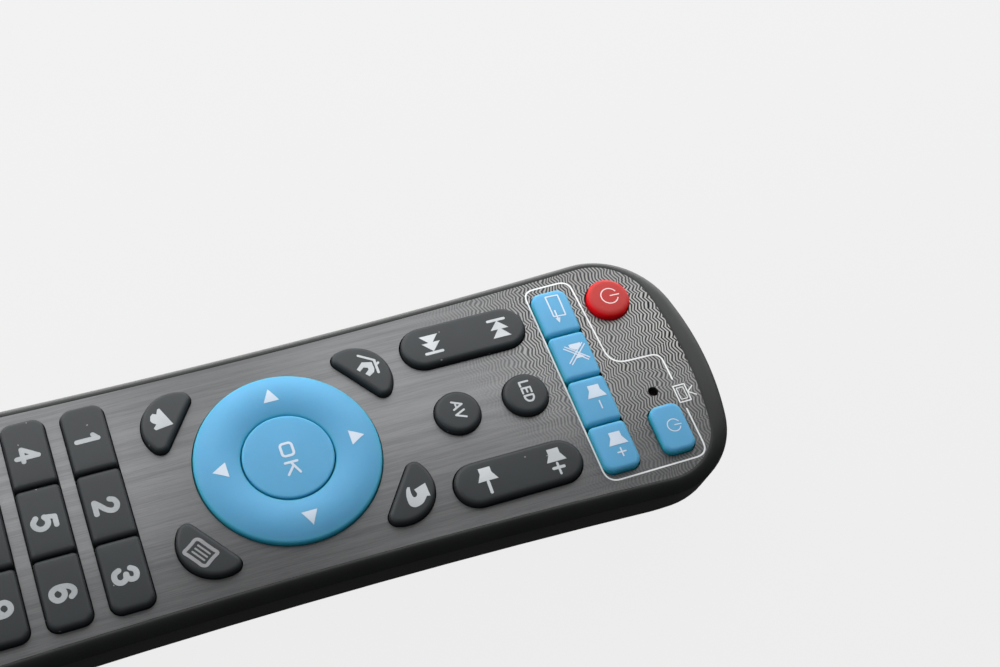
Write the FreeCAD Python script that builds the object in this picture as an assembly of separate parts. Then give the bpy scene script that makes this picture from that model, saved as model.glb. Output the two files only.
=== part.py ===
"""Hand-held remote control for a TV box: two plastic shells, a brushed face panel, silicone keys on a
mat, a circuit board with its parts, two AAA cells and a battery cover that slides off the rear.

Millimetres. The remote lies on its back: the underside is at z = 0, the keys face +Z, the infrared
end points along +Y and +X is the right-hand side of the keys. The origin is under mid-length.
"""
import FreeCAD, Part
import math
import os

V = FreeCAD.Vector

# Body
length = 165.0
end_width = 46.4
end_width_from_tip = 17.5
waist_inset = 1.55
rim_drop = 2.1
rim_side = 1.7
rim_front = 3.9
rim_rear = 3.0
nose_radius = 52.0
corner_radius = 14.5
face_corner_radius = 10.5
face_nose_radius = 72.0
belly_side = 8.6
belly_end = 9.0
belly_corner_radius = 7.0
outer_steps = 4
inner_steps = 4
wall = 1.3
face_wall = 1.5
panel_thickness = 0.4
panel_margin = 0.35
panel_gap = 0.08

# Joint between the shells
lip_depth = 1.65
lip_wall = 0.9
lip_gap = 0.35

# Board and keypad mat
board_thickness = 1.0
board_gap = 0.3
mat_thickness = 0.7
mat_to_face_wall = 1.4
fit_gap = 0.05
slit = 0.2
hole_gap = 0.2

# Keys: all places are measured from the centre of the direction ring
ring_from_front = 74.4
key_height = 1.3
key_edge = 0.6
key_travel = 0.75
flange_reach = 0.8
flange_thickness = 0.5
tilt_flange_thickness = 0.38
contact_half = 1.8
contact_clearance = 0.15
power_from_edge = 6.31
power_y = 61.3
power_radius = 3.75
power_height = 1.6
tv_power_from_edge = 6.99
tv_power_y = 61.9
tv_power_width = 8.85
tv_power_length = 5.7
tv_corner = 1.7
tv_row_y = 51.3
tv_key_length = 6.45
tv_row_margin = 2.21
row_key_gap = 0.36
inner_corner = 0.8
rocker_from_edge = 6.77
rocker_y = 34.4
rocker_width = 7.57
rocker_length = 21.8
rocker_tilt = 3.0
rocker_gap = 0.25
rocker_bar = 1.2
rocker_foot_at = 7.5
rocker_foot_half = 1.7
round_key_radius = 3.93
upper_round_y = 40.7
lower_round_y = 28.7
moon_from_ring = 2.86
moon_shift = 0.29
moon_radius = 6.28
moon_tilt = 36.4
moon_corner = 1.2
number_row_margin = 2.13
number_row_pitch = 9.3
first_row_y = -28.85
number_key_length = 6.7
number_corner = 2.1
ring_radius = 14.9
ring_height = 1.7
ring_gap = 0.25
ring_tilt = 2.0
ring_crest_at = 11.2
ring_inner_drop = 0.85
ring_shoulder = 0.7
ring_edge = 0.5
ok_radius = 7.25
ok_height = 1.45
ok_gap = 0.25
ok_flange = 0.5
ok_flange_thickness = 0.35
ok_flange_drop = 0.9
ok_stem_half = 2.6
ok_recess_depth = 1.4
fulcrum_inner = 8.0
fulcrum_width = 1.1
fulcrum_thickness = 0.2
foot_half = 1.8
foot_at = 11.5
lamp_x = 5.3
lamp_y = 61.9
lamp_hole = 1.75
lamp_radius = 1.5

# Cells and their bay
cell_diameter = 10.5
cell_length = 44.5
cell_nub_length = 0.8
cell_nub_radius = 1.9
cell_pitch = 10.7
cell_floor_gap = 0.25
bay_side_gap = 0.6
bay_wall = 1.0
bay_from_rear = 8.5
cell_roof_gap = 0.1
roof_thickness = 0.8
roof_gap = 0.05
contact_thickness = 0.4
contact_width = 6.2
contact_bottom = 3.2
bridge_bottom = 4.0
spring_length = 6.0
spring_wire = 0.5
spring_radius = 3.6
spring_tip_radius = 2.4
spring_turns = 3

# Battery cover
cover_past_bay = 2.2
cover_line = 5.0
cover_gap = 0.15
rail_reach = 2.5
rail_overlap = 0.9
rail_thickness = 0.75
rail_length = 40.0
rail_from_front = 6.0
cover_flange = 0.5
ledge_thickness = 0.8
rail_wall_bottom = 2.7
tab_width = 4.2
tab_length = 2.2
tab_thickness = 0.85
grip_width = 18.0
grip_length = 9.0
grip_depth = 0.5
grip_corner = 3.0
grip_ribs = 4
grip_rib_width = 0.8
grip_from_front = 12.0

# Screws and the bosses that take them
boss_radius = 1.5
screw_radius = 0.8
screw_head_radius = 1.6
screw_head_height = 1.0
screw_end_gap = 0.3
thread_gap = 0.05
mid_boss_from_edge = 4.75
mid_boss_y = -8.6
front_boss_x = -2.5
case_screw_from_bay = 17.3
case_screw_radius = 1.0
case_head_radius = 1.9
case_head_height = 1.1
post_radius = 1.6
post_x = 12.0
post_front = 60.0
post_rear = -12.0

# Parts on the board
ir_radius = 2.5
ir_length = 8.5
ir_flange = 0.4
ir_flange_thickness = 1.0
ir_axis_drop = 2.95
ir_tip_inset = 0.3
ir_hole_gap = 0.15
leg = 0.5
leg_length = 2.0
chip_radius = 5.0
chip_height = 1.3
chip_from_ring = 36.9
crystal_width = 3.6
crystal_length = 10.0
crystal_height = 3.2
crystal_x = 9.0
crystal_from_ring = 21.9
can_radius = 2.5
can_length = 7.5
can_x = -9.5
can_from_ring = 49.9
small_part_length = 1.6
small_part_width = 0.8
small_part_height = 0.5
small_part_pitch = 3.2
small_part_count = 8
small_part_x = -11.5
small_part_from_ring = 13.9

# Levels
roof_under = wall + cell_floor_gap + cell_diameter + cell_roof_gap
roof_top = roof_under + roof_thickness
board_under = roof_top + roof_gap
board_top = board_under + board_thickness
mat_top = board_top + mat_thickness
face_under = mat_top + mat_to_face_wall
body_height = face_under + face_wall
panel_under = body_height - panel_thickness
seam_z = body_height - rim_drop
key_top = body_height + key_height
flange_top = face_under - fit_gap
flange_under = flange_top - flange_thickness
contact_under = board_top + key_travel + contact_clearance
half_length = length / 2
half_waist = end_width / 2 - waist_inset
side_radius = (half_length - end_width_from_tip) ** 2 / (2 * waist_inset)
ring_y = half_length - ring_from_front
face_half = half_waist - rim_side
power_x = power_from_edge - face_half
tv_power_x = face_half - tv_power_from_edge
rocker_x = face_half - rocker_from_edge
tv_pitch = (2 * (face_half - tv_row_margin) + row_key_gap) / 4
number_pitch = (2 * (face_half - number_row_margin) + row_key_gap) / 3
mid_boss_x = half_waist - mid_boss_from_edge
chip_y = ring_y + chip_from_ring
crystal_y = ring_y + crystal_from_ring
can_y = ring_y + can_from_ring
small_part_y = ring_y + small_part_from_ring
lip_inset = wall + lip_gap
board_inset = lip_inset + lip_wall + board_gap
cell_radius = cell_diameter / 2
cell_z = wall + cell_floor_gap + cell_radius
cell_x = cell_pitch / 2
bay_half = cell_x + cell_radius + bay_side_gap
bay_rear = -half_length + bay_from_rear
bay_front = bay_rear + 2 * contact_thickness + cell_length + spring_length
cover_front = bay_front + cover_past_bay
case_screw_z = roof_under - case_head_height
tab_under = wall + cover_gap
tab_top = tab_under + tab_thickness
tiny = 1e-4


def tangent_corner(side, tip, corner, nose):
    """Centre of a corner arc that touches the hollow side arc and the end arc, and both touching points."""
    side_centre = V(half_waist + side_radius, 0, 0)
    side_reach = side_radius + side
    nose_centre = V(0, tip - nose, 0)
    apart = side_centre.distanceToPoint(nose_centre)
    r1 = side_reach + corner
    r2 = nose - corner
    along = (r1**2 - r2**2 + apart**2) / (2 * apart)
    across = math.sqrt(r1**2 - along**2)
    axis = (nose_centre - side_centre).normalize()
    normal = V(axis.y, -axis.x, 0)
    centre = side_centre + axis * along + normal * across
    on_side = side_centre + (centre - side_centre).normalize() * side_reach
    on_nose = nose_centre + (centre - nose_centre).normalize() * nose
    return centre, on_side, on_nose


def outline(z, side=0.0, front=0.0, rear=0.0, corner=corner_radius, nose=nose_radius):
    """Closed outline at height z, pulled in by side, front and rear from the widest line of the body."""
    ends = []
    for sign, inset in ((1, front), (-1, rear)):
        tip = half_length - inset
        centre, on_side, on_nose = tangent_corner(side, tip, corner, nose)
        halfway = ((on_side - centre) + (on_nose - centre)).normalize() * corner + centre
        ends.append((sign, tip, on_side, halfway, on_nose))

    def place(point, sx, sy):
        return V(point.x * sx, point.y * sy, z)

    (_, front_tip, fs, fm, fn), (_, rear_tip, rs, rm, rn) = ends
    waist = half_waist - side
    arcs = [
        (place(rs, 1, -1), V(waist, 0, z), place(fs, 1, 1)),
        (place(fs, 1, 1), place(fm, 1, 1), place(fn, 1, 1)),
        (place(fn, 1, 1), V(0, front_tip, z), place(fn, -1, 1)),
        (place(fn, -1, 1), place(fm, -1, 1), place(fs, -1, 1)),
        (place(fs, -1, 1), V(-waist, 0, z), place(rs, -1, -1)),
        (place(rs, -1, -1), place(rm, -1, -1), place(rn, -1, -1)),
        (place(rn, -1, -1), V(0, -rear_tip, z), place(rn, 1, -1)),
        (place(rn, 1, -1), place(rm, 1, -1), place(rs, 1, -1)),
    ]
    return Part.Wire([Part.Arc(*points).toShape() for points in arcs])


def parallel(z, inset):
    """Outline at height z, the same distance inside the widest line all round."""
    return outline(z, inset, inset, inset, corner_radius - inset, nose_radius - inset)


def slab(wire, height):
    return Part.Face(wire).extrude(V(0, 0, height))


def hull(inset, steps):
    """Solid below the seam whose sides round in to a flat belly, inset from the outside by a wall."""
    sections = []
    for step in range(steps + 1):
        angle = math.pi / 2 * step / steps
        drawn_in = 1 - math.cos(angle)
        z = inset + (seam_z - inset) * (1 - math.sin(angle))
        side = inset + (belly_side - inset * 0.5) * drawn_in
        end = inset + (belly_end - inset * 0.5) * drawn_in
        corner = corner_radius - inset + (belly_corner_radius - corner_radius) * drawn_in
        sections.append(outline(z, side, end, end, corner, nose_radius - inset))
    return Part.makeLoft(sections, True, True)


def block(x0, x1, y0, y1, z0, z1):
    return Part.makeBox(x1 - x0, y1 - y0, z1 - z0, V(x0, y0, z0))


def disc(x, y, radius, z0, z1):
    return Part.makeCylinder(radius, z1 - z0, V(x, y, z0))


def joined(shapes):
    return shapes[0].multiFuse(shapes[1:]).removeSplitter()


def rounded_face(x0, x1, y0, y1, left, right):
    """Face of a rectangle: a positive corner value is a radius, a negative one a straight cut."""
    corners = [(x1, y0, right, 1, -1), (x1, y1, right, 1, 1), (x0, y1, left, -1, 1), (x0, y0, left, -1, -1)]
    diagonal = 1 - math.sqrt(0.5)
    runs = []
    for x, y, corner, sx, sy in corners:
        r = abs(corner)
        on_x = V(x, y - sy * r, 0)
        on_y = V(x - sx * r, y, 0)
        middle = V(x - sx * r * diagonal, y - sy * r * diagonal, 0)
        if sx == sy:
            runs.append((on_x, middle, on_y, corner))
        else:
            runs.append((on_y, middle, on_x, corner))
    edges = []
    for i, (start, middle, end, corner) in enumerate(runs):
        following = runs[(i + 1) % 4][0]
        if corner > 0:
            edges.append(Part.Arc(start, middle, end).toShape())
        elif corner < 0:
            edges.append(Part.LineSegment(start, end).toShape())
        if end.distanceToPoint(following) > tiny:
            edges.append(Part.LineSegment(end, following).toShape())
    return Part.Face(Part.Wire(edges))


def bar(x, y, width, height, left, right):
    """Footprint of a rectangular key: a function of how far it grows all round."""

    def foot(grow):
        x0, x1 = x - width / 2 - grow, x + width / 2 + grow
        y0, y1 = y - height / 2 - grow, y + height / 2 + grow
        return rounded_face(x0, x1, y0, y1, left + math.copysign(grow, left), right + math.copysign(grow, right))

    return foot


def circle(x, y, radius):
    def foot(grow):
        return Part.Face(Part.Wire(Part.makeCircle(radius + grow, V(x, y, 0))))

    return foot


def half_moon(sx, sy):
    """Footprint of a corner key: a half disc whose straight side faces the direction ring."""
    lean = math.radians(moon_tilt)
    chord = V(math.cos(lean), -math.sin(lean), 0)
    outward = V(math.sin(lean), math.cos(lean), 0)
    middle = outward * (ring_radius + moon_from_ring) - chord * moon_shift

    def foot(grow):
        radius = moon_radius + grow
        corner = moon_corner + grow
        # the corner arc touches the chord and the outer arc, both pushed out by the growth
        offset = corner - grow
        reach = math.sqrt((radius - corner) ** 2 - offset**2)
        half = []
        for side in (1, -1):
            centre = chord * (side * reach) + outward * offset
            on_chord = chord * (side * reach) - outward * grow
            on_arc = centre + V(centre.x, centre.y, 0).normalize() * corner
            halfway = centre + ((on_chord - centre) + (on_arc - centre)).normalize() * corner
            half.append((on_chord, halfway, on_arc))

        def place(point):
            return V(sx * (middle.x + point.x), ring_y + sy * (middle.y + point.y), 0)

        (c1, m1, a1), (c2, m2, a2) = half
        runs = [(c1, m1, a1), (a1, outward * radius, a2), (a2, m2, c2)]
        edges = [Part.Arc(*[place(p) for p in run]).toShape() for run in runs]
        edges.append(Part.LineSegment(place(c2), place(c1)).toShape())
        return Part.Face(Part.Wire(edges))

    return foot


def raised(face, z0, z1):
    lifted = face.copy()
    lifted.translate(V(0, 0, z0))
    return lifted.extrude(V(0, 0, z1 - z0))


def bevel_top(solid, size):
    """Bevel the edges of a solid's top face."""
    top = max(v.Z for v in solid.Vertexes)
    edges = [e for e in solid.Edges if all(abs(v.Z - top) < tiny for v in e.Vertexes)]
    return solid.makeChamfer(size, edges)


def post_under(x, y, half, z0, z1):
    """Square foot or contact pill under a key."""
    return block(x - half, x + half, y - half, y + half, z0, z1)


def row_of_keys(names, y, pitch, height, outer_corner):
    """Keys side by side in one slot; the end keys have the slot's rounded corners."""
    row = []
    last = len(names) - 1
    for i, name in enumerate(names):
        x = (i - last / 2) * pitch
        left = outer_corner if i == 0 else -inner_corner
        right = outer_corner if i == last else -inner_corner
        row.append((name, bar(x, y, pitch - row_key_gap, height, left, right)))
    slot = bar(0, y, len(names) * pitch - row_key_gap, height, outer_corner, outer_corner)
    return row, slot


os.makedirs("parts", exist_ok=True)
nodes = {}

# Key footprints and the slots that they come through
rows = []
rows.append(row_of_keys(
    ["tv_input_key", "tv_mute_key", "tv_volume_down_key", "tv_volume_up_key"],
    ring_y + tv_row_y, tv_pitch, tv_key_length, tv_corner))
number_names = [
    ["number_1_key", "number_2_key", "number_3_key"],
    ["number_4_key", "number_5_key", "number_6_key"],
    ["number_7_key", "number_8_key", "number_9_key"],
    ["info_key", "number_0_key", "delete_key"],
]
for i, names in enumerate(number_names):
    y = ring_y + first_row_y - i * number_row_pitch
    rows.append(row_of_keys(names, y, number_pitch, number_key_length, number_corner))

single_keys = [
    ("power_key", circle(power_x, ring_y + power_y, power_radius)),
    ("tv_power_key", bar(tv_power_x, ring_y + tv_power_y, tv_power_width, tv_power_length, tv_corner, tv_corner)),
    ("led_key", circle(0, ring_y + upper_round_y, round_key_radius)),
    ("round_key", circle(0, ring_y + lower_round_y, round_key_radius)),
]
corner_keys = [
    ("home_key", half_moon(-1, 1)),
    ("back_key", half_moon(1, 1)),
    ("pointer_key", half_moon(-1, -1)),
    ("menu_key", half_moon(1, -1)),
]
rockers = [
    ("skip_rocker", -rocker_x),
    ("volume_rocker", rocker_x),
]

face_openings = []
mat_openings = []


def plain_flange(foot, reach_x):
    """Rectangle round a key's footprint."""
    area = foot(0).BoundBox
    x0, x1 = area.XMin - reach_x, area.XMax + reach_x
    return rounded_face(x0, x1, area.YMin - flange_reach, area.YMax + flange_reach, 0, 0)


def push_key(name, foot, flange_face):
    """A key that is pressed straight down: cap, flange under the face and contact pill over the board."""
    top = body_height + (power_height if name == "power_key" else key_height)
    cap = bevel_top(raised(foot(0), flange_under, top), key_edge)
    flange = raised(flange_face, flange_under, flange_top)
    middle = foot(0).BoundBox.Center
    nodes[name] = joined([cap, flange, post_under(middle.x, middle.y, contact_half, contact_under, flange_under)])
    mat_openings.append((middle.x, middle.y, contact_half + slit))


for name, foot in single_keys:
    push_key(name, foot, plain_flange(foot, flange_reach))
    face_openings.append(foot(hole_gap))
for name, foot in corner_keys:
    push_key(name, foot, foot(flange_reach))
    face_openings.append(foot(hole_gap))
for row, slot in rows:
    for name, foot in row:
        push_key(name, foot, plain_flange(foot, 0))
    face_openings.append(slot(hole_gap))

# Rockers: tilt about a bar of the mat under their middle
rocker_rise = (rocker_length / 2 + flange_reach) * math.sin(math.radians(rocker_tilt))
rocker_flange_top = face_under - rocker_rise - fit_gap
rocker_flange_under = rocker_flange_top - tilt_flange_thickness
rocker_foot_drop = (rocker_foot_at + rocker_foot_half) * math.sin(math.radians(rocker_tilt))
rocker_foot_under = board_top + rocker_foot_drop + fit_gap * 2
rocker_openings = []
for name, x in rockers:
    y = ring_y + rocker_y
    foot = bar(x, y, rocker_width, rocker_length, rocker_width / 2 - tiny, rocker_width / 2 - tiny)
    cap = bevel_top(raised(foot(0), rocker_flange_under, key_top), key_edge)
    half_x = rocker_width / 2 + flange_reach
    half_y = rocker_length / 2 + flange_reach
    parts = [cap, block(x - half_x, x + half_x, y - half_y, y + half_y, rocker_flange_under, rocker_flange_top)]
    for sign in (1, -1):
        foot_y = y + sign * rocker_foot_at
        parts.append(post_under(x, foot_y, rocker_foot_half, rocker_foot_under, rocker_flange_under))
    nodes[name] = joined(parts)
    face_openings.append(foot(rocker_gap))
    rocker_openings.append((x, half_x + slit, y, half_y + slit))

# Direction ring, the fulcrum under it and the OK key in its middle
centre = V(0, ring_y, 0)
ring_top = body_height + ring_height
ring_bore = ok_radius + ok_gap
full_tilt = math.radians(ring_tilt) * math.sqrt(2)
ring_flange_radius = ring_radius + flange_reach
ring_flange_top = face_under - ring_flange_radius * math.sin(full_tilt) - fit_gap
ring_under = ring_flange_top - tilt_flange_thickness
ring_foot_under = board_top + (foot_at + foot_half) * math.sin(full_tilt) + fit_gap
recess_radius = fulcrum_inner
recess_top = ring_under + ok_recess_depth
ok_flange_under = recess_top - ok_flange_drop


def ring_point(r, z):
    return V(r, ring_y, z)


profile = [
    ring_point(ring_bore, recess_top),
    ring_point(ring_bore, ring_top - ring_inner_drop),
    ring_point(ring_crest_at, ring_top),
    ring_point(ring_radius - ring_edge, ring_top - ring_shoulder),
    ring_point(ring_radius, ring_top - ring_shoulder - ring_edge),
    ring_point(ring_radius, ring_flange_top),
    ring_point(ring_flange_radius, ring_flange_top),
    ring_point(ring_flange_radius, ring_under),
    ring_point(recess_radius, ring_under),
    ring_point(recess_radius, recess_top),
    ring_point(ring_bore, recess_top),
]
ring_face = Part.Face(Part.makePolygon(profile))
ring = ring_face.revolve(centre, V(0, 0, 1), 360)
feet = []
for dx, dy in ((1, 0), (0, 1), (-1, 0), (0, -1)):
    feet.append(post_under(dx * foot_at, ring_y + dy * foot_at, foot_half, ring_foot_under, ring_under))
nodes["direction_ring"] = joined([ring] + feet)

fulcrum_outer = fulcrum_inner + fulcrum_width
fulcrum_rise = fulcrum_outer * math.sin(math.radians(ring_tilt))
fulcrum_under = board_top + fulcrum_rise + fit_gap / 2
fulcrum_top = fulcrum_under + fulcrum_thickness
nodes["fulcrum_frame"] = post_under(0, ring_y, fulcrum_outer, fulcrum_under, fulcrum_top).cut(
    post_under(0, ring_y, fulcrum_inner, fulcrum_under - 1, fulcrum_top + 1))

ok_top = body_height + ok_height
ok_cap = bevel_top(disc(0, ring_y, ok_radius, ok_flange_under, ok_top), key_edge)
nodes["ok_key"] = joined([
    ok_cap,
    disc(0, ring_y, ok_radius + ok_flange, ok_flange_under, ok_flange_under + ok_flange_thickness),
    post_under(0, ring_y, ok_stem_half, contact_under, ok_flange_under),
])
face_openings.append(circle(0, ring_y, ring_radius)(ring_gap))
lamp = circle(lamp_x, ring_y + lamp_y, lamp_hole / 2)
face_openings.append(lamp(0))

# Bosses of the top shell, and the screws that hold the board to them
board_screws = [(front_boss_x, ring_y + lamp_y)]
for sign in (1, -1):
    board_screws.append((sign * mid_boss_x, ring_y + mid_boss_y))
case_y = bay_rear + case_screw_from_bay

# Top shell
seam = parallel(seam_z, 0)
rim = outline(body_height, rim_side, rim_front, rim_rear, face_corner_radius, face_nose_radius)
top_shell = Part.makeLoft([seam, rim], True, True)
top_shell = top_shell.cut(slab(parallel(seam_z - 1, lip_inset), face_under - seam_z + 1))
lip_bottom = seam_z - lip_depth
lip = slab(parallel(lip_bottom, lip_inset), face_under - lip_bottom)
lip = lip.cut(slab(parallel(lip_bottom - 1, lip_inset + lip_wall), body_height))
bosses = [disc(x, y, boss_radius, board_top, face_under) for x, y in board_screws]
bosses.append(disc(0, case_y, case_head_radius, roof_top, face_under))
top_shell = joined([top_shell, lip] + bosses)
panel_line = [rim_side + panel_margin, rim_front + panel_margin, rim_rear + panel_margin]
panel_corner = face_corner_radius - panel_margin
recess = slab(outline(panel_under, *panel_line, panel_corner, face_nose_radius - panel_margin), wall)
panel_side, panel_front, panel_rear = [inset + panel_gap for inset in panel_line]
panel_wire = outline(panel_under, panel_side, panel_front, panel_rear, panel_corner - panel_gap, face_nose_radius)
panel = slab(panel_wire, panel_thickness)
holes = [raised(face, lip_bottom, body_height + 1) for face in face_openings]
thread_top = panel_under - screw_end_gap
threads = [disc(x, y, screw_radius + thread_gap, board_top - 1, thread_top) for x, y in board_screws]
threads.append(disc(0, case_y, case_screw_radius + thread_gap, roof_top - 1, thread_top))
nodes["top_shell"] = top_shell.cut([recess] + holes + threads)
nodes["face_panel"] = panel.cut(holes)

# Bottom shell: hull, battery bay, rails for the cover, posts under the board, opening for the LED
outer = hull(0.0, outer_steps)
inner = hull(wall, inner_steps)
skin = outer.cut(inner)
bay_outer = bay_half + bay_wall
rail_outer = bay_outer + rail_reach
rail_front = cover_front - rail_from_front
rail_rear = rail_front - rail_length
flange_z = cover_line - cover_gap - cover_flange
rail_z = flange_z - cover_gap - rail_thickness
ledge_top = cover_line + ledge_thickness
bay_back = bay_rear - bay_wall
bay_face = bay_front + bay_wall
bay_parts = [
    block(-bay_outer, bay_outer, bay_back, bay_front - contact_thickness * 2, roof_under, roof_top),
    block(-bay_outer, bay_outer, bay_front, bay_face, cover_line, roof_top),
    block(-bay_outer, bay_outer, bay_back, bay_rear, cover_line, roof_top),
    block(-length, length, -length, bay_rear, cover_line, ledge_top),
    block(-length, length, bay_front, cover_front + wall, cover_line, ledge_top),
    block(-length, length, cover_front, cover_front + wall, 0, ledge_top),
]
for sign in (1, -1):
    side_wall = sorted((sign * bay_half, sign * bay_outer))
    bay_parts.append(block(*side_wall, bay_back, bay_face, cover_line, roof_top))
    bay_parts.append(block(*side_wall, rail_rear, rail_front, rail_wall_bottom, cover_line))
    bay_parts.append(block(*sorted((sign * bay_half, sign * length)), -length, bay_face, cover_line, ledge_top))
    bay_parts.append(block(*sorted((sign * bay_half, sign * rail_outer)), rail_rear, rail_front,
                           rail_z, rail_z + rail_thickness))
posts = [
    disc(sign * post_x, ring_y + y, post_radius, wall / 2, board_under)
    for sign in (1, -1) for y in (post_front, post_rear)
]
cover_zone = block(-length, length, -length, cover_front, -1, cover_line)
kept_posts = [post.common(outer) for post in posts]
tab_slot = block(-tab_width / 2 - slit, tab_width / 2 + slit, cover_front - 1, cover_front + wall + 1,
                 tab_under - cover_gap / 2, tab_top + cover_gap)
bay = joined(bay_parts).common(outer).cut(tab_slot)
bottom = joined([skin.cut(cover_zone), bay] + kept_posts)
ir_z = board_under - ir_axis_drop
ir_base = half_length - ir_tip_inset - ir_length
ir_hole = Part.makeCylinder(ir_radius + ir_hole_gap, ir_length, V(0, ir_base + ir_length / 2, ir_z), V(0, 1, 0))
case_hole = disc(0, case_y, case_screw_radius + cover_gap, roof_under - 1, roof_top + 1)
nodes["bottom_shell"] = bottom.cut([ir_hole, case_hole])

# Battery cover: the rear of the belly, with a flange over each rail, a tab at its front edge and a ribbed
# thumb grip
cover_box = block(-length, length, -length, cover_front - cover_gap, -1, cover_line - cover_gap)
cover = skin.common(cover_box)
extras = []
for sign in (1, -1):
    across = sorted((sign * (rail_outer - rail_overlap), sign * half_waist))
    flange = block(*across, rail_rear, rail_front, flange_z, flange_z + cover_flange)
    extras.append(flange.common(outer))
tab_root = cover_front - tab_length
extras.append(block(-tab_width / 2, tab_width / 2, tab_root, cover_front + tab_length, tab_under, tab_top))
extras.append(block(-tab_width / 2, tab_width / 2, tab_root, cover_front - cover_gap, wall / 2, tab_top))
cover = joined([cover] + extras)
grip_y = cover_front - grip_from_front
grip_rear, grip_front = grip_y - grip_length / 2, grip_y + grip_length / 2
grip = rounded_face(-grip_width / 2, grip_width / 2, grip_rear, grip_front, grip_corner, grip_corner)
grip_cut = raised(grip, -1, grip_depth)
ribs = []
for i in range(grip_ribs):
    y = grip_y + (i - (grip_ribs - 1) / 2) * grip_length / (grip_ribs + 1)
    half_rib = grip_rib_width / 2
    ribs.append(block(-grip_width / 2, grip_width / 2, y - half_rib, y + half_rib, -1, grip_depth + 1))
nodes["battery_cover"] = cover.cut(grip_cut.cut(ribs))

# Keypad mat and board share an outline; the mat has an opening for every key, boss and the lamp
board = slab(parallel(board_under, board_inset), board_thickness)
board_cuts = [disc(x, y, screw_radius + slit, board_under - 1, board_top + 1) for x, y in board_screws]
board_cuts.append(disc(0, case_y, case_head_radius + slit, board_under - 1, board_top + 1))
nodes["circuit_board"] = board.cut(board_cuts)

mat = slab(parallel(board_top, board_inset), mat_thickness)
mat_cuts = [post_under(x, y, half, board_top - 1, mat_top + 1) for x, y, half in mat_openings]
mat_cuts += [disc(x, y, boss_radius + slit, board_top - 1, mat_top + 1) for x, y in board_screws]
mat_cuts.append(disc(0, case_y, case_head_radius + slit, board_top - 1, mat_top + 1))
mat_cuts.append(disc(0, ring_y, ring_flange_radius + slit, board_top - 1, mat_top + 1))
mat_cuts.append(disc(lamp_x, ring_y + lamp_y, lamp_radius + slit, board_top - 1, mat_top + 1))
bars = []
for x, half_x, y, half_y in rocker_openings:
    mat_cuts.append(block(x - half_x, x + half_x, y - half_y, y + half_y, board_top - 1, mat_top + 1))
    bars.append(block(x - half_x, x + half_x, y - rocker_bar / 2, y + rocker_bar / 2,
                      board_top, rocker_flange_under - fit_gap * 2))
nodes["keypad_mat"] = joined([mat.cut(mat_cuts)] + bars)

# Screws
def screw(x, y, shank, head, head_under, head_height, top):
    """Screw driven upward: a head that narrows toward its face, and the shank."""
    pan = Part.makeCone(head * 0.7, head, head_height, V(x, y, head_under))
    return joined([pan, disc(x, y, shank, head_under + head_height, top)])


shank_top = thread_top - fit_gap
nodes["board_screws"] = Part.makeCompound([
    screw(x, y, screw_radius, screw_head_radius, board_under - screw_head_height, screw_head_height, shank_top)
    for x, y in board_screws
])
nodes["case_screw"] = screw(0, case_y, case_screw_radius, case_head_radius, case_screw_z,
                            case_head_height, shank_top)

# Indicator lamp on the board under its hole, and the infrared LED lying along the front
lamp_shoulder = board_top + lamp_radius / 2
nodes["indicator_lamp"] = joined([
    disc(lamp_x, ring_y + lamp_y, lamp_radius, board_top, lamp_shoulder),
    Part.makeCone(lamp_radius, lamp_radius / 2, face_under - fit_gap - lamp_shoulder,
                  V(lamp_x, ring_y + lamp_y, lamp_shoulder)),
])

ir_along = V(0, 1, 0)
ir_profile = [
    V(0, 0, 0),
    V(ir_radius + ir_flange, 0, 0),
    V(ir_radius + ir_flange, ir_flange_thickness, 0),
    V(ir_radius, ir_flange_thickness, 0),
    V(ir_radius, ir_length - ir_radius, 0),
    V(ir_radius * math.cos(math.pi / 4), ir_length - ir_radius * (1 - math.sin(math.pi / 4)), 0),
    V(0, ir_length, 0),
    V(0, 0, 0),
]
ir_body = Part.Face(Part.makePolygon(ir_profile)).revolve(V(0, 0, 0), ir_along, 360)
ir_body.translate(V(0, ir_base, ir_z))
legs = []
for sign in (1, -1):
    x = sign * ir_radius / 2
    legs.append(block(x - leg / 2, x + leg / 2, ir_base - leg_length, ir_base, ir_z - leg / 2, ir_z + leg / 2))
    legs.append(block(x - leg / 2, x + leg / 2, ir_base - leg_length, ir_base - leg_length + leg,
                      ir_z - leg / 2, board_under))
nodes["infrared_led"] = joined([ir_body] + legs)

# Parts soldered under the board
nodes["controller_chip"] = Part.makeCone(chip_radius * 0.7, chip_radius, chip_height,
                                         V(0, chip_y, board_under - chip_height))

crystal_face = rounded_face(
    crystal_x - crystal_width / 2, crystal_x + crystal_width / 2,
    crystal_y - crystal_length / 2, crystal_y + crystal_length / 2, crystal_width / 2 - tiny, crystal_width / 2 - tiny)
nodes["crystal"] = raised(crystal_face, board_under - crystal_height, board_under)

nodes["capacitor"] = Part.makeCylinder(
    can_radius, can_length, V(can_x, can_y, board_under - can_radius), ir_along)

small_parts = []
for i in range(small_part_count):
    x = small_part_x
    y = small_part_y + i * small_part_pitch
    if i % 2:
        x = small_part_x - small_part_pitch
    small_parts.append(block(
        x - small_part_length / 2, x + small_part_length / 2,
        y - small_part_width / 2, y + small_part_width / 2,
        board_under - small_part_height, board_under))
nodes["small_parts"] = Part.makeCompound(small_parts)

# Cells, one each way round
def cell(x, nub_y, toward):
    """A cell along Y; its nub ends at nub_y and points toward +1 or -1."""
    case_end = nub_y - toward * cell_nub_length
    far_end = nub_y - toward * cell_length
    y0, y1 = sorted((case_end, far_end))
    case = Part.makeCylinder(cell_radius, y1 - y0, V(x, y0, cell_z), ir_along)
    nub_start = min(nub_y, case_end)
    nub = Part.makeCylinder(cell_nub_radius, cell_nub_length, V(x, nub_start, cell_z), ir_along)
    return joined([case, nub])


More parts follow.
